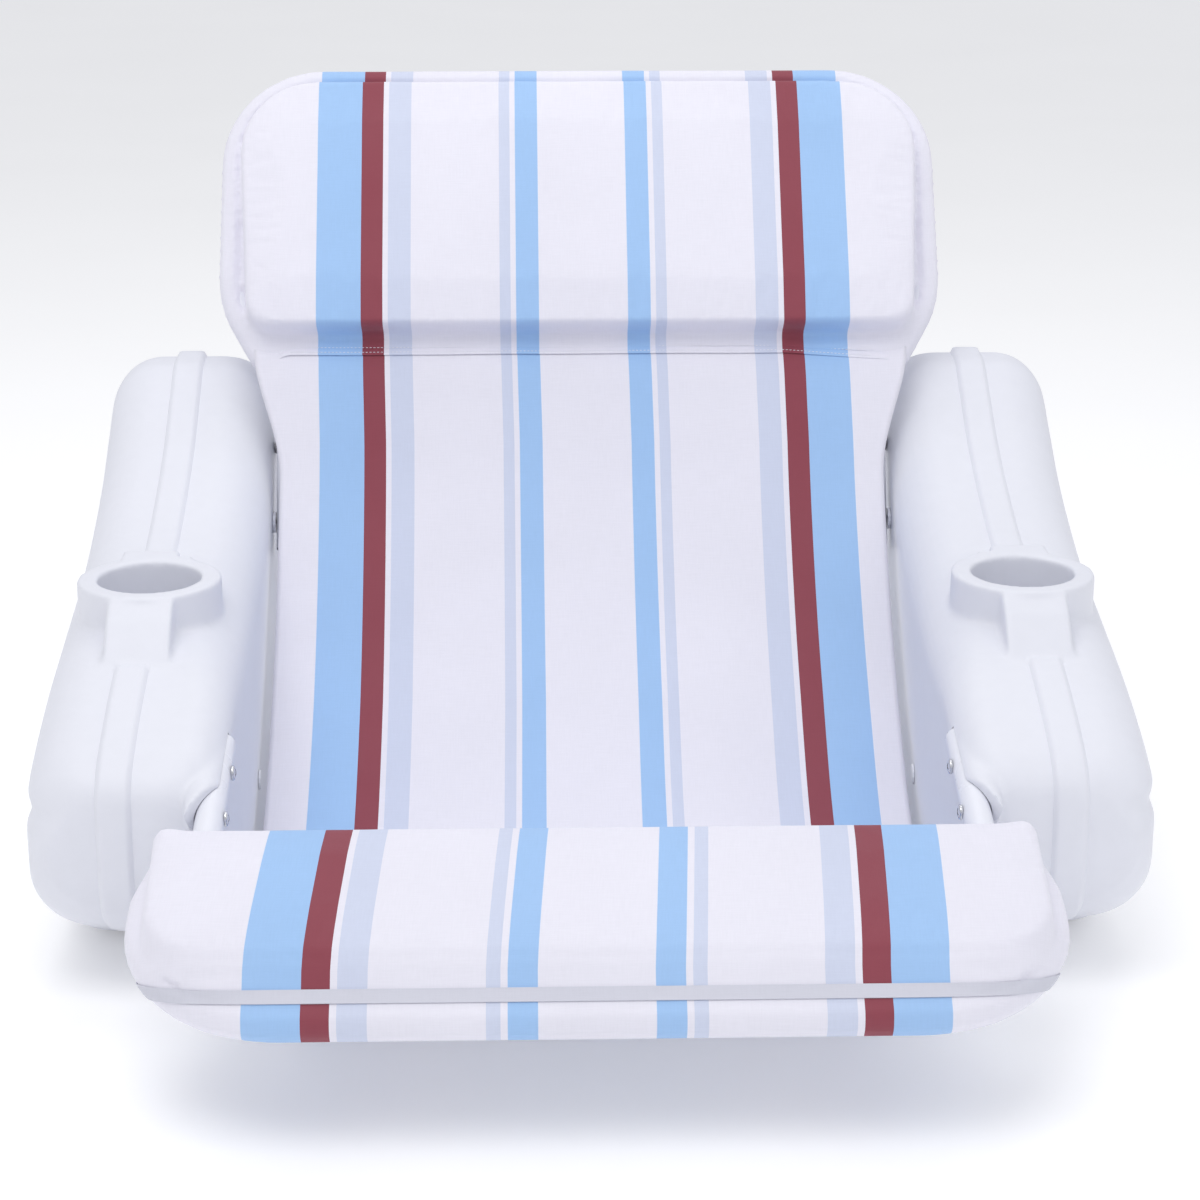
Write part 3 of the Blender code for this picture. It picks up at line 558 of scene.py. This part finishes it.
def make_arm():
    """Right arm float, its cup holder, ring, ramp, rib and waist."""
    middle, half = (ARM_NOSE_H + ARM_TAIL_H) / 2, (ARM_TAIL_H - ARM_NOSE_H) / 2
    rings = [arm_ring(middle - half * math.cos(math.pi * i / 110)) for i in range(111)]
    arm = bm_object("arm_shell_right", loft(rings))
    boolean(arm, upright_cylinder("ring", CUP_RING_R, RING_LOW_Z, CUP_RIM_Z), "UNION")
    rim_front, rear, high = CUP_H - CUP_RING_R, CUP_H - RAMP_REAR_BACK, CUP_RIM_Z - RAMP_DROP
    ramp = ((rear, RAMP_LOW_Z), (rear, high), (rim_front + 0.004, high),
            (rim_front - 0.014, CUP_RIM_Z - 0.014),
            (RAMP_FRONT_H, top_line(RAMP_FRONT_H) - 0.001), (RAMP_FRONT_H, RAMP_LOW_Z))
    boolean(arm, box_between("ramp", ramp, CUP_X - RAMP_HALF, CUP_X + RAMP_HALF), "UNION")
    rest = ((REST_FRONT_H, REST_LOW_Z), (REST_FRONT_H, CUP_RIM_Z), (0.504, CUP_RIM_Z + 0.0035),
            (REST_REAR_H, REST_LOW_Z))
    boolean(arm, box_between("rest", rest, CUP_X - REST_HALF, CUP_X + REST_HALF), "UNION")
    notch = ((NOTCH_FRONT_H, NOTCH_Z), (NOTCH_FRONT_H, 0.150), (0.520, 0.150), (0.520, NOTCH_Z))
    boolean(arm, box_between("notch", notch, CUP_X - NOTCH_FAR, CUP_X - NOTCH_NEAR), "DIFFERENCE")
    bore = upright_cylinder("bore", CUP_BORE_R, CUP_RIM_Z - CUP_DEPTH, BORE_TOP_Z)
    boolean(arm, bore, "DIFFERENCE")
    path = [BOLSTER_FRAME @ Vector((x, v, 0)) for x, v in seat_leg_path()]
    boolean(arm, leg_swell(path), "UNION")
    remesh(arm, ARM_VOXEL, ARM_SMOOTHING)

    co, out = coords(arm), normals(arm)
    h, z = co[:, 1] - EDGE_Y, co[:, 2] - EDGE_Z
    # raised band round the whole loop, broken by the cup holder and its ramp
    across = 1 - ease((np.abs(co[:, 0] - RIB_X) - (RIB_HALF - 0.0010)) / 0.0020)
    flat = np.hypot(out[:, 1], out[:, 2])
    upper = out[:, 2] > 0.2
    clear = np.where(upper, np.maximum(ease((RAMP_FRONT_H + 0.006 - h) / 0.010),
                                       ease((h - 0.506) / 0.003)), 1.0)
    outside = flat > 0.55
    tail = 1 + RIB_TAIL_MORE * ease((h - RIB_TAIL_FROM) / RIB_TAIL_REACH)
    lift = RIB_H * tail * across * clear * outside
    push = np.stack((np.zeros(len(co)), out[:, 1], out[:, 2]), 1)
    push /= np.maximum(flat, 1e-6)[:, None]
    # the rib doesn't climb the cup's well or ring
    near_cup = np.hypot(co[:, 0] - CUP_X, h - CUP_H) < CUP_RING_R + 0.006
    lift[near_cup & (z > 0.05)] = 0.0
    co = co + push * lift[:, None]
    # waist groove round the outer side, fading towards the middle of the arm
    groove = np.exp(-((z - WAIST_Z) / WAIST_HALF) ** 2) * ease((out[:, 0] + 0.1) / 0.7)
    groove *= 1 - ease((h - WAIST_FADE_FROM) / WAIST_FADE_REACH)
    co[:, 0] -= WAIST_DEPTH * groove
    co[:, 2] = np.maximum(co[:, 2], 0.0)       # the keel stays on the floor
    set_coords(arm, co)
    path[-1] += (path[-1] - path[-2]).normalized() * 0.0015
    boolean(arm, tube_mesh("channel", path, TUBE_R + CHANNEL_GAP), "DIFFERENCE")
    arm.data.shade_smooth()
    arm.data.set_sharp_from_angle(angle=math.radians(48))
    return arm


def mirrored(obj, name):
    mesh = obj.data.copy()
    mesh.name = name
    copy = new_object(name, mesh)
    co = coords(copy)
    co[:, 0] *= -1
    set_coords(copy, co)
    mesh.flip_normals()
    return copy


arm_right = make_arm()
arm_left = mirrored(arm_right, "arm_shell_left")
for label, arm in (("left", arm_left), ("right", arm_right)):
    arm.data.materials.clear()
    arm.data.materials.append(PLASTIC)
    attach(arm, "seat")
    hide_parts("arm_float_" + label)


# --------------------------------------------------------------- frame tubes
def mirror_path(half):
    return [Vector((-p.x, p.y, p.z)) for p in reversed(half)] + half


def back_leg_direction():
    return Vector((HEAD_H - HINGE_H, HEAD_Z - HINGE_Z)).normalized()


def leg_point(v):
    return (BOLSTER_H + v * math.cos(BOLSTER_TILT), BOLSTER_Z + v * math.sin(BOLSTER_TILT))


def make_tubes():
    half = [(x, 0.0) for x in (0.02, 0.08, 0.14)]
    half += arc(BOLSTER_X - BOLSTER_BEND_R, BOLSTER_BEND_R, BOLSTER_BEND_R, -90, 0, 20)
    half += seat_leg_path()
    path = mirror_path([BOLSTER_FRAME @ Vector((x, v, 0)) for x, v in half])
    seat = tube_mesh("seat_tube_skin", path, TUBE_R, mat=PAINT)

    half = [(x, HEAD_BAR_V) for x in (0.02, 0.08, 0.14)]
    half += arc(HEAD_TOP_X - HEAD_BEND_R, HEAD_BAR_V - HEAD_BEND_R, HEAD_BEND_R, 90, 0, 20)
    for i in range(13):
        t = i / 12
        half.append((HEAD_TOP_X + (HEAD_LOW_X - HEAD_TOP_X) * t * t, HEAD_TURN_V * (1 - t)))
    pad = [HEAD_FRAME @ Vector((x, v, 0)) for x, v in half]
    up, hinge = back_leg_direction(), Vector((HINGE_H, HINGE_Z))
    length = (Vector((HEAD_H, HEAD_Z)) - hinge).length
    leg = []
    for i in range(1, 17):
        t = i / 16
        leg.append(place(HEAD_LOW_X + (BACK_LEG_X - HEAD_LOW_X) * float(ease(t)),
                         *(hinge + up * length * (1 - t * 0.5))))
    leg.append(place(BACK_LEG_X, *(hinge - up * BACK_LEG_END)))
    back = tube_mesh("back_tube_skin", mirror_path(pad + leg), TUBE_R, mat=PAINT)
    for tube, body, node in ((seat, "seat", "seat_frame_tube"), (back, "back", "back_frame_tube")):
        tube.data.shade_smooth()
        tube.data.set_sharp_from_angle(angle=math.radians(50))
        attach(tube, body)
        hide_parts(node)


make_tubes()


def pan_head(name, seat, side, body, node):
    """Domed screw head with a cross recess, its underside at seat, facing the middle."""
    profile = [(SCREW_HEAD_R * 0.55, -0.001), (SCREW_HEAD_R * 0.96, 0.0),
               (SCREW_HEAD_R, 0.0005), (SCREW_HEAD_R, 0.0014)]
    for k in range(1, 9):
        a = math.radians(90 * k / 8)
        profile.append((SCREW_HEAD_R * math.cos(a), 0.0014 + (SCREW_HEAD_T - 0.0014) * math.sin(a)))
    rings = []
    for radius, height in profile[:-1]:
        rings.append([seat + Vector((-side * height, radius * math.cos(a), radius * math.sin(a)))
                      for a in (2 * math.pi * k / 40 for k in range(40))])
    head = bm_object(name, loft(rings), STEEL)
    for turn in (0.3, 0.3 + math.pi / 2):
        bm = bmesh.new()
        bmesh.ops.create_cube(bm, size=1.0)
        bmesh.ops.scale(bm, vec=(0.0030, 0.0070, 0.0013), verts=bm.verts)
        bmesh.ops.rotate(bm, matrix=Matrix.Rotation(turn, 3, "X"), verts=bm.verts)
        bmesh.ops.translate(bm, vec=seat - Vector((side * SCREW_HEAD_T, 0, 0)), verts=bm.verts)
        boolean(head, bm_object("recess", bm), "DIFFERENCE")
    head.data.materials.clear()
    head.data.materials.append(STEEL)
    head.data.shade_smooth()
    head.data.set_sharp_from_angle(angle=math.radians(35))
    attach(head, body)
    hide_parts(node)


for label, side in SIDES:
    for where, v in zip(("front", "rear"), SEAT_SCREW_V):
        pan_head("screw_head_%s_%s" % (where, label),
                 place(side * (SEAT_LEG_X - TUBE_R), *leg_point(v)), side, "seat",
                 "seat_screw_%s_%s" % (where, label))
    pan_head("hinge_head_" + label, place(side * (BACK_LEG_X - TUBE_R), HINGE_H, HINGE_Z), side,
             "seat", "hinge_bolt_" + label)


# -------------------------------------------------------------------- covers
def round_corners(corners, steps):
    out = []
    count = len(corners)
    for i, (x, v, r) in enumerate(corners):
        here = Vector((x, v))
        back = (Vector(corners[i - 1][:2]) - here).normalized()
        ahead = (Vector(corners[(i + 1) % count][:2]) - here).normalized()
        half = back.angle(ahead) / 2
        reach = r / math.tan(half)
        start, end = here + back * reach, here + ahead * reach
        centre = here + (back + ahead).normalized() * (r / math.sin(half))
        for k in range(steps + 1):
            spoke = (start - centre).lerp(end - centre, k / steps)
            out.append(tuple(centre + spoke.normalized() * r))
    return out


def pad_outline(corners, inset=0.0, steps=10):
    """Symmetric outline from its right-hand (x, v, radius) corners, moved in by inset."""
    moved = []
    for i, (x, v, r) in enumerate(corners):
        v += inset if i == 0 else -inset if i == len(corners) - 1 else 0.0
        moved.append((x - inset, v, max(r - inset, 0.002)))
    left = [(-x, v, r) for x, v, r in reversed(moved)]
    return np.array(round_corners(moved + left, steps))


def along_outline(outline, count):
    """Points at equal steps along a closed outline."""
    closed = np.vstack((outline, outline[:1]))
    run = np.concatenate(([0], np.cumsum(np.hypot(*np.diff(closed, axis=0).T))))
    at = np.linspace(0, run[-1], count, endpoint=False)
    return np.stack((np.interp(at, run, closed[:, 0]), np.interp(at, run, closed[:, 1])), 1)


def cast(outline, centre, toward):
    """Where rays from centre through the toward points meet a convex outline."""
    a, b = outline, np.roll(outline, -1, 0)
    edge = b - a
    ray = toward - centre
    ray = ray / np.hypot(*ray.T)[:, None]
    from_centre = a - centre
    down = ray[:, None, 0] * edge[None, :, 1] - ray[:, None, 1] * edge[None, :, 0]
    down = np.where(np.abs(down) < 1e-12, 1e-12, down)
    dist = (from_centre[:, 0] * edge[:, 1] - from_centre[:, 1] * edge[:, 0])[None] / down
    part = (from_centre[None, :, 0] * ray[:, None, 1] - from_centre[None, :, 1] * ray[:, None, 0])
    part = part / down
    good = (part > -1e-6) & (part < 1 + 1e-6) & (dist > 0)
    reach = np.where(good, dist, np.inf).min(1)
    return centre + ray * reach[:, None]


def distance_inside(outline, points):
    """Distance of points from a closed outline, positive inside it."""
    a, b = outline, np.roll(outline, -1, 0)
    edge = b - a
    best = np.full(len(points), np.inf)
    inside = np.zeros(len(points), bool)
    for (ax, av), (ex, ev) in zip(a, edge):
        dx, dv = points[:, 0] - ax, points[:, 1] - av
        t = np.clip((dx * ex + dv * ev) / (ex * ex + ev * ev + 1e-18), 0, 1)
        best = np.minimum(best, np.hypot(dx - ex * t, dv - ev * t))
        crosses = (av > points[:, 1]) != (av + ev > points[:, 1])
        if abs(ev) > 1e-15:
            inside ^= crosses & (points[:, 0] < ax + (points[:, 1] - av) * ex / ev)
    return np.where(inside, best, -best)


def make_pad(name, matrix, rings, centre):
    """Closed cushion skin from (outline, height) rings; height may depend on (x, v)."""
    outer = along_outline(rings[4][0], 420)
    middle = np.array(centre)
    rows = []
    for outline, height in rings:
        at = cast(outline, middle, outer)
        w = height(at) if callable(height) else np.full(len(at), height)
        rows.append([matrix @ Vector((x, v, q)) for (x, v), q in zip(at, w)])
    return bm_object(name, loft(rows))


def inflate(obj, cap, keep):
    """Cloth simulation under pressure. keep is 1 where the cover is held still."""
    rest = coords(obj)
    group = obj.vertex_groups.new(name="held")
    for i, weight in enumerate(keep):
        if weight > 0.01:
            group.add([i], float(weight), "REPLACE")
    mod = obj.modifiers.new("cloth", "CLOTH")
    cloth = mod.settings
    cloth.quality = 6
    cloth.mass = 0.25
    cloth.tension_stiffness = cloth.compression_stiffness = 18
    cloth.shear_stiffness = 8
    cloth.bending_stiffness = 0.35
    cloth.use_pressure = True
    cloth.uniform_pressure_force = SIM_PRESSURE
    cloth.shrink_min = SIM_GIVE
    cloth.effector_weights.gravity = 0
    cloth.vertex_group_mass = "held"
    mod.collision_settings.use_collision = False
    mod.point_cache.frame_start, mod.point_cache.frame_end = 1, SIM_FRAMES
    for f in range(1, SIM_FRAMES + 1):
        scene.frame_set(f)
    bake(obj)
    scene.frame_set(1)
    obj.vertex_groups.clear()
    move = coords(obj) - rest
    size = np.linalg.norm(move, axis=1)
    move *= (np.minimum(size, cap) / np.maximum(size, 1e-9))[:, None]
    set_coords(obj, rest + move)


def sleeve_rings(sleeve, floor=-0.0120):
    """Back of a cover and the roll of cloth round its tube, from back to front."""
    r = SLEEVE_HALF
    return [(pad_outline(sleeve, 0.060), floor), (pad_outline(sleeve, 0.027), floor - 0.0004),
            (pad_outline(sleeve, r), -r), (pad_outline(sleeve, 0.0042), -0.0102),
            (pad_outline(sleeve, 0.0), 0.0), (pad_outline(sleeve, 0.0042), 0.0102),
            (pad_outline(sleeve, r), r)]


def head_outlines():
    wrap = SLEEVE_WRAP
    sleeve = [(HEAD_LOW_X + wrap, HEAD_LOW_V, 0.012),
              (HEAD_TOP_X + wrap, HEAD_TURN_V - 0.040, 0.11),
              (HEAD_TOP_X + wrap, HEAD_BAR_V + wrap, HEAD_BEND_R + wrap)]
    half, low, high, _ = HEAD_PAD
    return sleeve, [(half - 0.012, low, 0.024), (half, high, 0.068)]


def make_headrest():
    sleeve, raised = head_outlines()
    face = HEAD_PAD[3]
    low_v = HEAD_PAD[1]

    def valley(at):
        low = 1 - ease((at[:, 1] - low_v) / 0.020)
        return 0.0085 + (0.0142 - 0.0085) * low

    rings = sleeve_rings(sleeve)
    rings += [(pad_outline(raised, -0.0035), valley),
              (pad_outline(raised, 0.0008), lambda at: valley(at) + 0.0012),
              (pad_outline(raised, 0.0004), face - 0.0125),
              (pad_outline(raised, 0.0008), face - 0.0045),
              (pad_outline(raised, 0.0034), face - 0.0012),
              (pad_outline(raised, 0.0080), face - 0.0002),
              (pad_outline(raised, 0.050), face)]
    pad = make_pad("head_pad", HEAD_FRAME, rings, (0.0, 0.13))
    remesh(pad, PAD_VOXEL, PAD_SMOOTHING)
    local = to_frame(coords(pad), HEAD_FRAME)
    inside = distance_inside(pad_outline(raised, 0.0), local[:, :2])
    free = np.where(local[:, 2] > 0.004, ease((inside + 0.001) / 0.010), 0.0)
    back = np.where(local[:, 2] < -0.004,
                    ease((distance_inside(pad_outline(sleeve, 0.030), local[:, :2])) / 0.02), 0.0)
    inflate(pad, HEAD_PUFF, 1 - np.maximum(free, back))
    subdivide(pad)

    local = to_frame(coords(pad), HEAD_FRAME)
    front = ease((local[:, 2] - 0.003) / 0.004)
    inside = distance_inside(pad_outline(raised, 0.0), local[:, :2])
    # puckers where the pocket's foot is sewn, and slack in the sleeve's cloth
    foot = np.exp(-((inside + 0.003) / 0.006) ** 2) * front
    ripple = smooth_noise(local * np.array((1, 1, 0)), 34.0, 1)
    slack = smooth_noise(local * np.array((1, 1, 0.4)), 13.0, 2)
    crease = smooth_noise(local * np.array((1, 1, 0)), 48.0, 5)
    outer = (1 - ease((inside + 0.006) / 0.006)) * front
    sides = ease((np.abs(local[:, 0]) - 0.255) / 0.045)
    local[:, 2] += 0.0011 * ripple * foot + (0.0010 * slack + 0.0009 * crease * sides) * outer
    # below the seam the cover tucks in under the sling
    tuck = ease((SEAM_V - local[:, 1]) / 0.004) * front * (np.abs(local[:, 0]) < 0.295)
    local[:, 2] -= 0.0032 * tuck
    set_coords(pad, from_frame(local, HEAD_FRAME))
    slope_map(pad, HEAD_FRAME, HEAD_SHIFT)
    pad.data.materials.clear()
    pad.data.materials.append(CLOTH)
    pad.data.shade_smooth()
    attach(pad, "back")
    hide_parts("head_cover", "head_foam")


def bolster_outlines():
    wrap = SLEEVE_WRAP
    sleeve = [(BOLSTER_X + wrap, -wrap, BOLSTER_BEND_R + wrap),
              (BOLSTER_X + wrap, SEAT_LEG_V[0] + 0.006, 0.04),
              (BOLSTER_REAR_X, BOLSTER_REAR_V, 0.012)]
    half, low, high, _ = BOLSTER_PAD
    return sleeve, [(half, low, 0.050), (half + 0.004, high, 0.011)]


def make_bolster():
    sleeve, raised = bolster_outlines()
    face = BOLSTER_PAD[3]

    def front_part(at):
        return 1 - ease((at[:, 1] - 0.020) / 0.030)

    def blended(side_w, front_w):
        return lambda at: side_w + (front_w - side_w) * front_part(at)

    rings = sleeve_rings(sleeve)
    half, low, high, _ = BOLSTER_PAD
    foot = [(half + 0.0025, low - 0.019, 0.062), (half + 0.0050, high + 0.0005, 0.011)]
    wall = [(half + 0.0015, low - 0.006, 0.055), (half + 0.0045, high, 0.011)]
    rings += [(pad_outline(foot), blended(0.0105, 0.0185)),
              (pad_outline(wall), blended(0.0220, 0.0300)),
              (pad_outline(raised, 0.0004), face - 0.0040),
              (pad_outline(raised, 0.0032), face - 0.0009),
              (pad_outline(raised, 0.0080), face - 0.0001),
              (pad_outline(raised, 0.045), face)]
    pad = make_pad("bolster_pad", BOLSTER_FRAME, rings, (0.0, 0.085))
    remesh(pad, PAD_VOXEL, PAD_SMOOTHING)
    local = to_frame(coords(pad), BOLSTER_FRAME)
    inside = distance_inside(pad_outline(raised, 0.0), local[:, :2])
    free = np.where(local[:, 2] > 0.004, ease((inside + 0.002) / 0.010), 0.0)
    back = np.where(local[:, 2] < -0.004,
                    ease((distance_inside(pad_outline(sleeve, 0.030), local[:, :2])) / 0.02), 0.0)
    inflate(pad, BOLSTER_PUFF, 1 - np.maximum(free, back))
    subdivide(pad)

    local = to_frame(coords(pad), BOLSTER_FRAME)
    front = ease((local[:, 2] - 0.003) / 0.004)
    inside = distance_inside(pad_outline(raised, 0.0), local[:, :2])
    outer = (1 - ease((inside + 0.004) / 0.006)) * front
    slack = smooth_noise(local * np.array((1, 1, 0.4)), 15.0, 3)
    ripple = smooth_noise(local * np.array((1, 1, 0)), 32.0, 4)
    foot = np.exp(-((inside + 0.004) / 0.006) ** 2) * front
    local[:, 2] += 0.0010 * slack * outer + 0.0007 * ripple * foot
    # the rear corners of the face stand up in small peaks
    half, _, high, _ = BOLSTER_PAD
    peak = np.exp(-(((np.abs(local[:, 0]) - half + 0.006) / 0.010) ** 2
                    + ((local[:, 1] - high + 0.006) / 0.010) ** 2)) * front
    local[:, 2] += 0.0028 * peak
    set_coords(pad, from_frame(local, BOLSTER_FRAME))
    slope_map(pad, BOLSTER_FRAME, BOLSTER_SHIFT)
    pad.data.materials.clear()
    pad.data.materials.append(CLOTH)
    pad.data.shade_smooth()
    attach(pad, "seat")
    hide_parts("bolster_cover", "bolster_foam")
    return pad


def make_band(pad):
    """Grey tape over the seam between the bolster's top and its bottom panel."""
    up_v, up_w, level, half = 0.547, 0.837, 0.0172, 0.0045
    bm = bmesh.new()
    bm.from_mesh(pad.data)
    turn = BOLSTER_FRAME.to_3x3()
    direction = turn @ Vector((0, up_v, up_w))
    for sign in (-1, 1):
        at = BOLSTER_FRAME @ Vector((0, up_v * (level + sign * half), up_w * (level + sign * half)))
        geom = bm.verts[:] + bm.edges[:] + bm.faces[:]
        bmesh.ops.bisect_plane(bm, geom=geom, plane_co=at, plane_no=direction * sign,
                               clear_outer=True, dist=1e-6)
    inverse = BOLSTER_FRAME.inverted()
    back = [f for f in bm.faces
            if (turn.transposed() @ f.normal).y > 0.35
            or (inverse @ f.calc_center_median()).y > 0.075
            or (inverse @ f.calc_center_median()).z < -0.010]
    bmesh.ops.delete(bm, geom=back, context="FACES")
    loose = [v for v in bm.verts if not v.link_faces]
    bmesh.ops.delete(bm, geom=loose, context="VERTS")
    lift = [(v, v.normal.copy()) for v in bm.verts]
    for v, n in lift:
        v.co += n * 0.0003
    mesh = bpy.data.meshes.new("bolster_band")
    bm.to_mesh(mesh)
    bm.free()
    band = new_object("bolster_band", mesh, TAPE)
    thick = band.modifiers.new("thickness", "SOLIDIFY")
    thick.thickness = 0.0009
    thick.offset = 1.0
    bake(band)
    slope_map(band, BOLSTER_FRAME)
    band.data.shade_smooth()
    band.data.set_sharp_from_angle(angle=math.radians(45))
    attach(band, "seat")
    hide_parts("bolster_piping")


make_headrest()
bolster_pad = make_bolster()
make_band(bolster_pad)


# --------------------------------------------------------------------- sling
def sling_half_width(t):
    head = SLING_HEAD_HALF + (SLING_HALF - SLING_HEAD_HALF) * float(ease(t / 0.16))
    neck = float(ease((t - 0.72) / 0.16))
    return head + (SLING_NECK_HALF - head) * neck


def head_side_view(v, w):
    p = HEAD_FRAME @ Vector((0, v, w))
    return (p.y - EDGE_Y, p.z - EDGE_Z)


def make_sling():
    tucked = [head_side_view(SEAM_V + 0.008, 0.0105), head_side_view(SEAM_V, 0.0134)]
    line = spline_through(tucked + list(SLING_POINTS), 8)
    run = np.concatenate(([0.0], np.cumsum([(b - a).length for a, b in zip(line, line[1:])])))
    columns = 120
    rows, across, along = [], [], []
    for i, point in enumerate(line):
        before, after = line[max(i - 1, 0)], line[min(i + 1, len(line) - 1)]
        tangent = (after - before).normalized()
        normal = Vector((tangent.y, -tangent.x))
        if normal.y < 0:
            normal = -normal
        t = run[i] / run[-1]
        half = sling_half_width(t)
        row = []
        for k in range(columns + 1):
            s = 2 * k / columns - 1
            x = s * half
            edge = ease((abs(s) - 0.72) / 0.28)
            loose = math.sin(math.pi * min(max((t - 0.25) / 0.75, 0.0), 1.0))
            pull = noise.noise(Vector((x * 9.0, run[i] * 16.0 + abs(x) * 10.0, 3.7)))
            dent = 0.0022 * edge * loose * pull
            dent += 0.0012 * noise.noise(Vector((x * 5.0, run[i] * 6.0, 9.1))) * loose
            dent -= 0.0035 * edge * edge * loose
            at = point + normal * dent
            row.append(place(x, at.x, at.y))
            across.append(x - float(np.interp(t, *zip(*SLING_SHIFT))))
            along.append(run[i])
        rows.append(row)
    sling = bm_object("sling_sheet", loft(rows, closed=False, caps=False), CLOTH)
    # normals face the sitter
    middle = sling.data.polygons[len(sling.data.polygons) // 2]
    if middle.normal.z < 0:
        sling.data.flip_normals()
    cloth_map(sling, np.array(across), np.array(along))
    thick = sling.modifiers.new("thickness", "SOLIDIFY")
    thick.thickness = SLING_THICK
    thick.offset = 0.0
    bake(sling)
    sling.data.shade_smooth()
    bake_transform(sling)
    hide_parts("sling_seat_panel", "sling_back_panel")


make_sling()


def seam_drop(x):
    """How far the headrest's seam bends down the slope at x."""
    right = 0.0080 * max(x - 0.185, 0.0) / 0.105
    left = 0.0060 * float(ease((-x - 0.262) / 0.020))
    return right + left + 0.0006 * noise.noise(Vector((x * 14.0, 0.3, 0.9)))


def make_head_seam():
    """Folded edge of the headrest's cover over the sling, with two rows of stitches."""
    section = ((0.0090, 0.0128), (0.0066, 0.0146), (0.0036, 0.0153), (0.0010, 0.0156),
               (0.0000, 0.0154), (0.0001, 0.0147), (0.0014, 0.0144), (0.0066, 0.0130))
    start, end, count = -0.284, 0.292, 180
    rings = []
    for i in range(count + 1):
        x = start + (end - start) * i / count
        sunk = 1 - float(ease(min(x - start, end - x) / 0.016))
        rings.append([HEAD_FRAME @ Vector((x, SEAM_V + v * (1 - 0.5 * sunk) - seam_drop(x),
                                           w - 0.0045 * sunk)) for v, w in section])
    fold = bm_object("head_seam_fold", loft(rings), CLOTH)
    slope_map(fold, HEAD_FRAME, HEAD_SHIFT)
    fold.data.shade_smooth()
    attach(fold, "back")
    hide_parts("head_piping")

    bm = bmesh.new()
    pitch, length, radius = 0.0034, 0.0024, 0.00032
    for v, w in ((SEAM_V + 0.0028, 0.0156), (SEAM_V + 0.0078, 0.0141)):
        x = -0.262
        while x < 0.262:
            at = Vector((x, v - seam_drop(x), w))
            made = bmesh.ops.create_uvsphere(bm, u_segments=6, v_segments=4, radius=radius)
            bmesh.ops.scale(bm, vec=(length / 2 / radius, 1, 0.8), verts=made["verts"])
            bmesh.ops.translate(bm, vec=at, verts=made["verts"])
            x += pitch
    bmesh.ops.transform(bm, matrix=HEAD_FRAME, verts=bm.verts)
    stitches = bm_object("head_stitches", bm, THREAD)
    slope_map(stitches, HEAD_FRAME)
    stitches.data.shade_smooth()
    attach(stitches, "back")


make_head_seam()

# ------------------------------------------------- finishes of the CAD solids
FINISHES = {"arm_plastic": PLASTIC, "frame_paint": PAINT, "trim_plastic": TRIM,
            "steel": STEEL, "cloth": CLOTH, "piping": TAPE, "foam": TAPE}
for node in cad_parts.values():
    for slot in node.material_slots:
        key = slot.material.name.split(".")[0] if slot.material else ""
        if key in FINISHES:
            slot.material = PAINT if "washer" in node.name else FINISHES[key]


# ------------------------------------------------------------ camera and set
def make_camera():
    data = bpy.data.cameras.new("camera")
    data.lens, data.sensor_width = 81.0, 36.0
    camera = bpy.data.objects.new("camera", data)
    scene.collection.objects.link(camera)
    pitch, yaw = math.radians(17.5), math.radians(1.41)
    forward = Vector((math.sin(yaw) * math.cos(pitch), math.cos(yaw) * math.cos(pitch),
                      -math.sin(pitch)))
    camera.location = (-0.042, EDGE_Y - 1.680, EDGE_Z + 0.776)
    camera.rotation_euler = forward.to_track_quat("-Z", "Y").to_euler()
    scene.camera = camera


def make_light(name, location, target, size, power, colour):
    data = bpy.data.lights.new(name, "AREA")
    data.shape = "RECTANGLE"
    data.size, data.size_y = size
    data.energy = power
    data.color = colour
    light = bpy.data.objects.new(name, data)
    scene.collection.objects.link(light)
    light.location = location
    light.rotation_euler = (Vector(target) - Vector(location)).to_track_quat("-Z", "Y").to_euler()


def make_set():
    bm = bmesh.new()
    bmesh.ops.create_grid(bm, x_segments=1, y_segments=1, size=30.0)
    s = Shader("pale_floor")
    base = s.add("ShaderNodeCombineXYZ")
    for socket in base.inputs:
        socket.default_value = 0.95
    floor = bm_object("floor", bm, s.finish(
        s.shaded(base.outputs[0], s.spread(s.noise(2.0, 2.0), 0.99, 1.01)), None, 0.8,
        Emission_Color=(1.0, 1.0, 1.0, 1.0), Emission_Strength=0.14))
    floor.location.z = -0.0005

    world = bpy.data.worlds.new("studio")
    world.use_nodes = True
    background = world.node_tree.nodes["Background"]
    background.inputs["Color"].default_value = (0.95, 0.96, 1.0, 1.0)
    background.inputs["Strength"].default_value = 0.70
    scene.world = world
    make_light("key", (-0.6, -1.1, 2.8), (0, -0.05, 0.2), (2.2, 1.6), 28, (1.0, 0.99, 0.98))
    make_light("fill", (1.7, -1.3, 1.5), (0, 0, 0.25), (1.8, 1.8), 5, (0.95, 0.97, 1.0))
    make_light("top", (0.1, 0.9, 2.8), (0, 0.1, 0.3), (2.4, 1.4), 13, (1.0, 1.0, 1.0))
    scene.view_settings.view_transform = "Standard"


make_camera()
make_set()
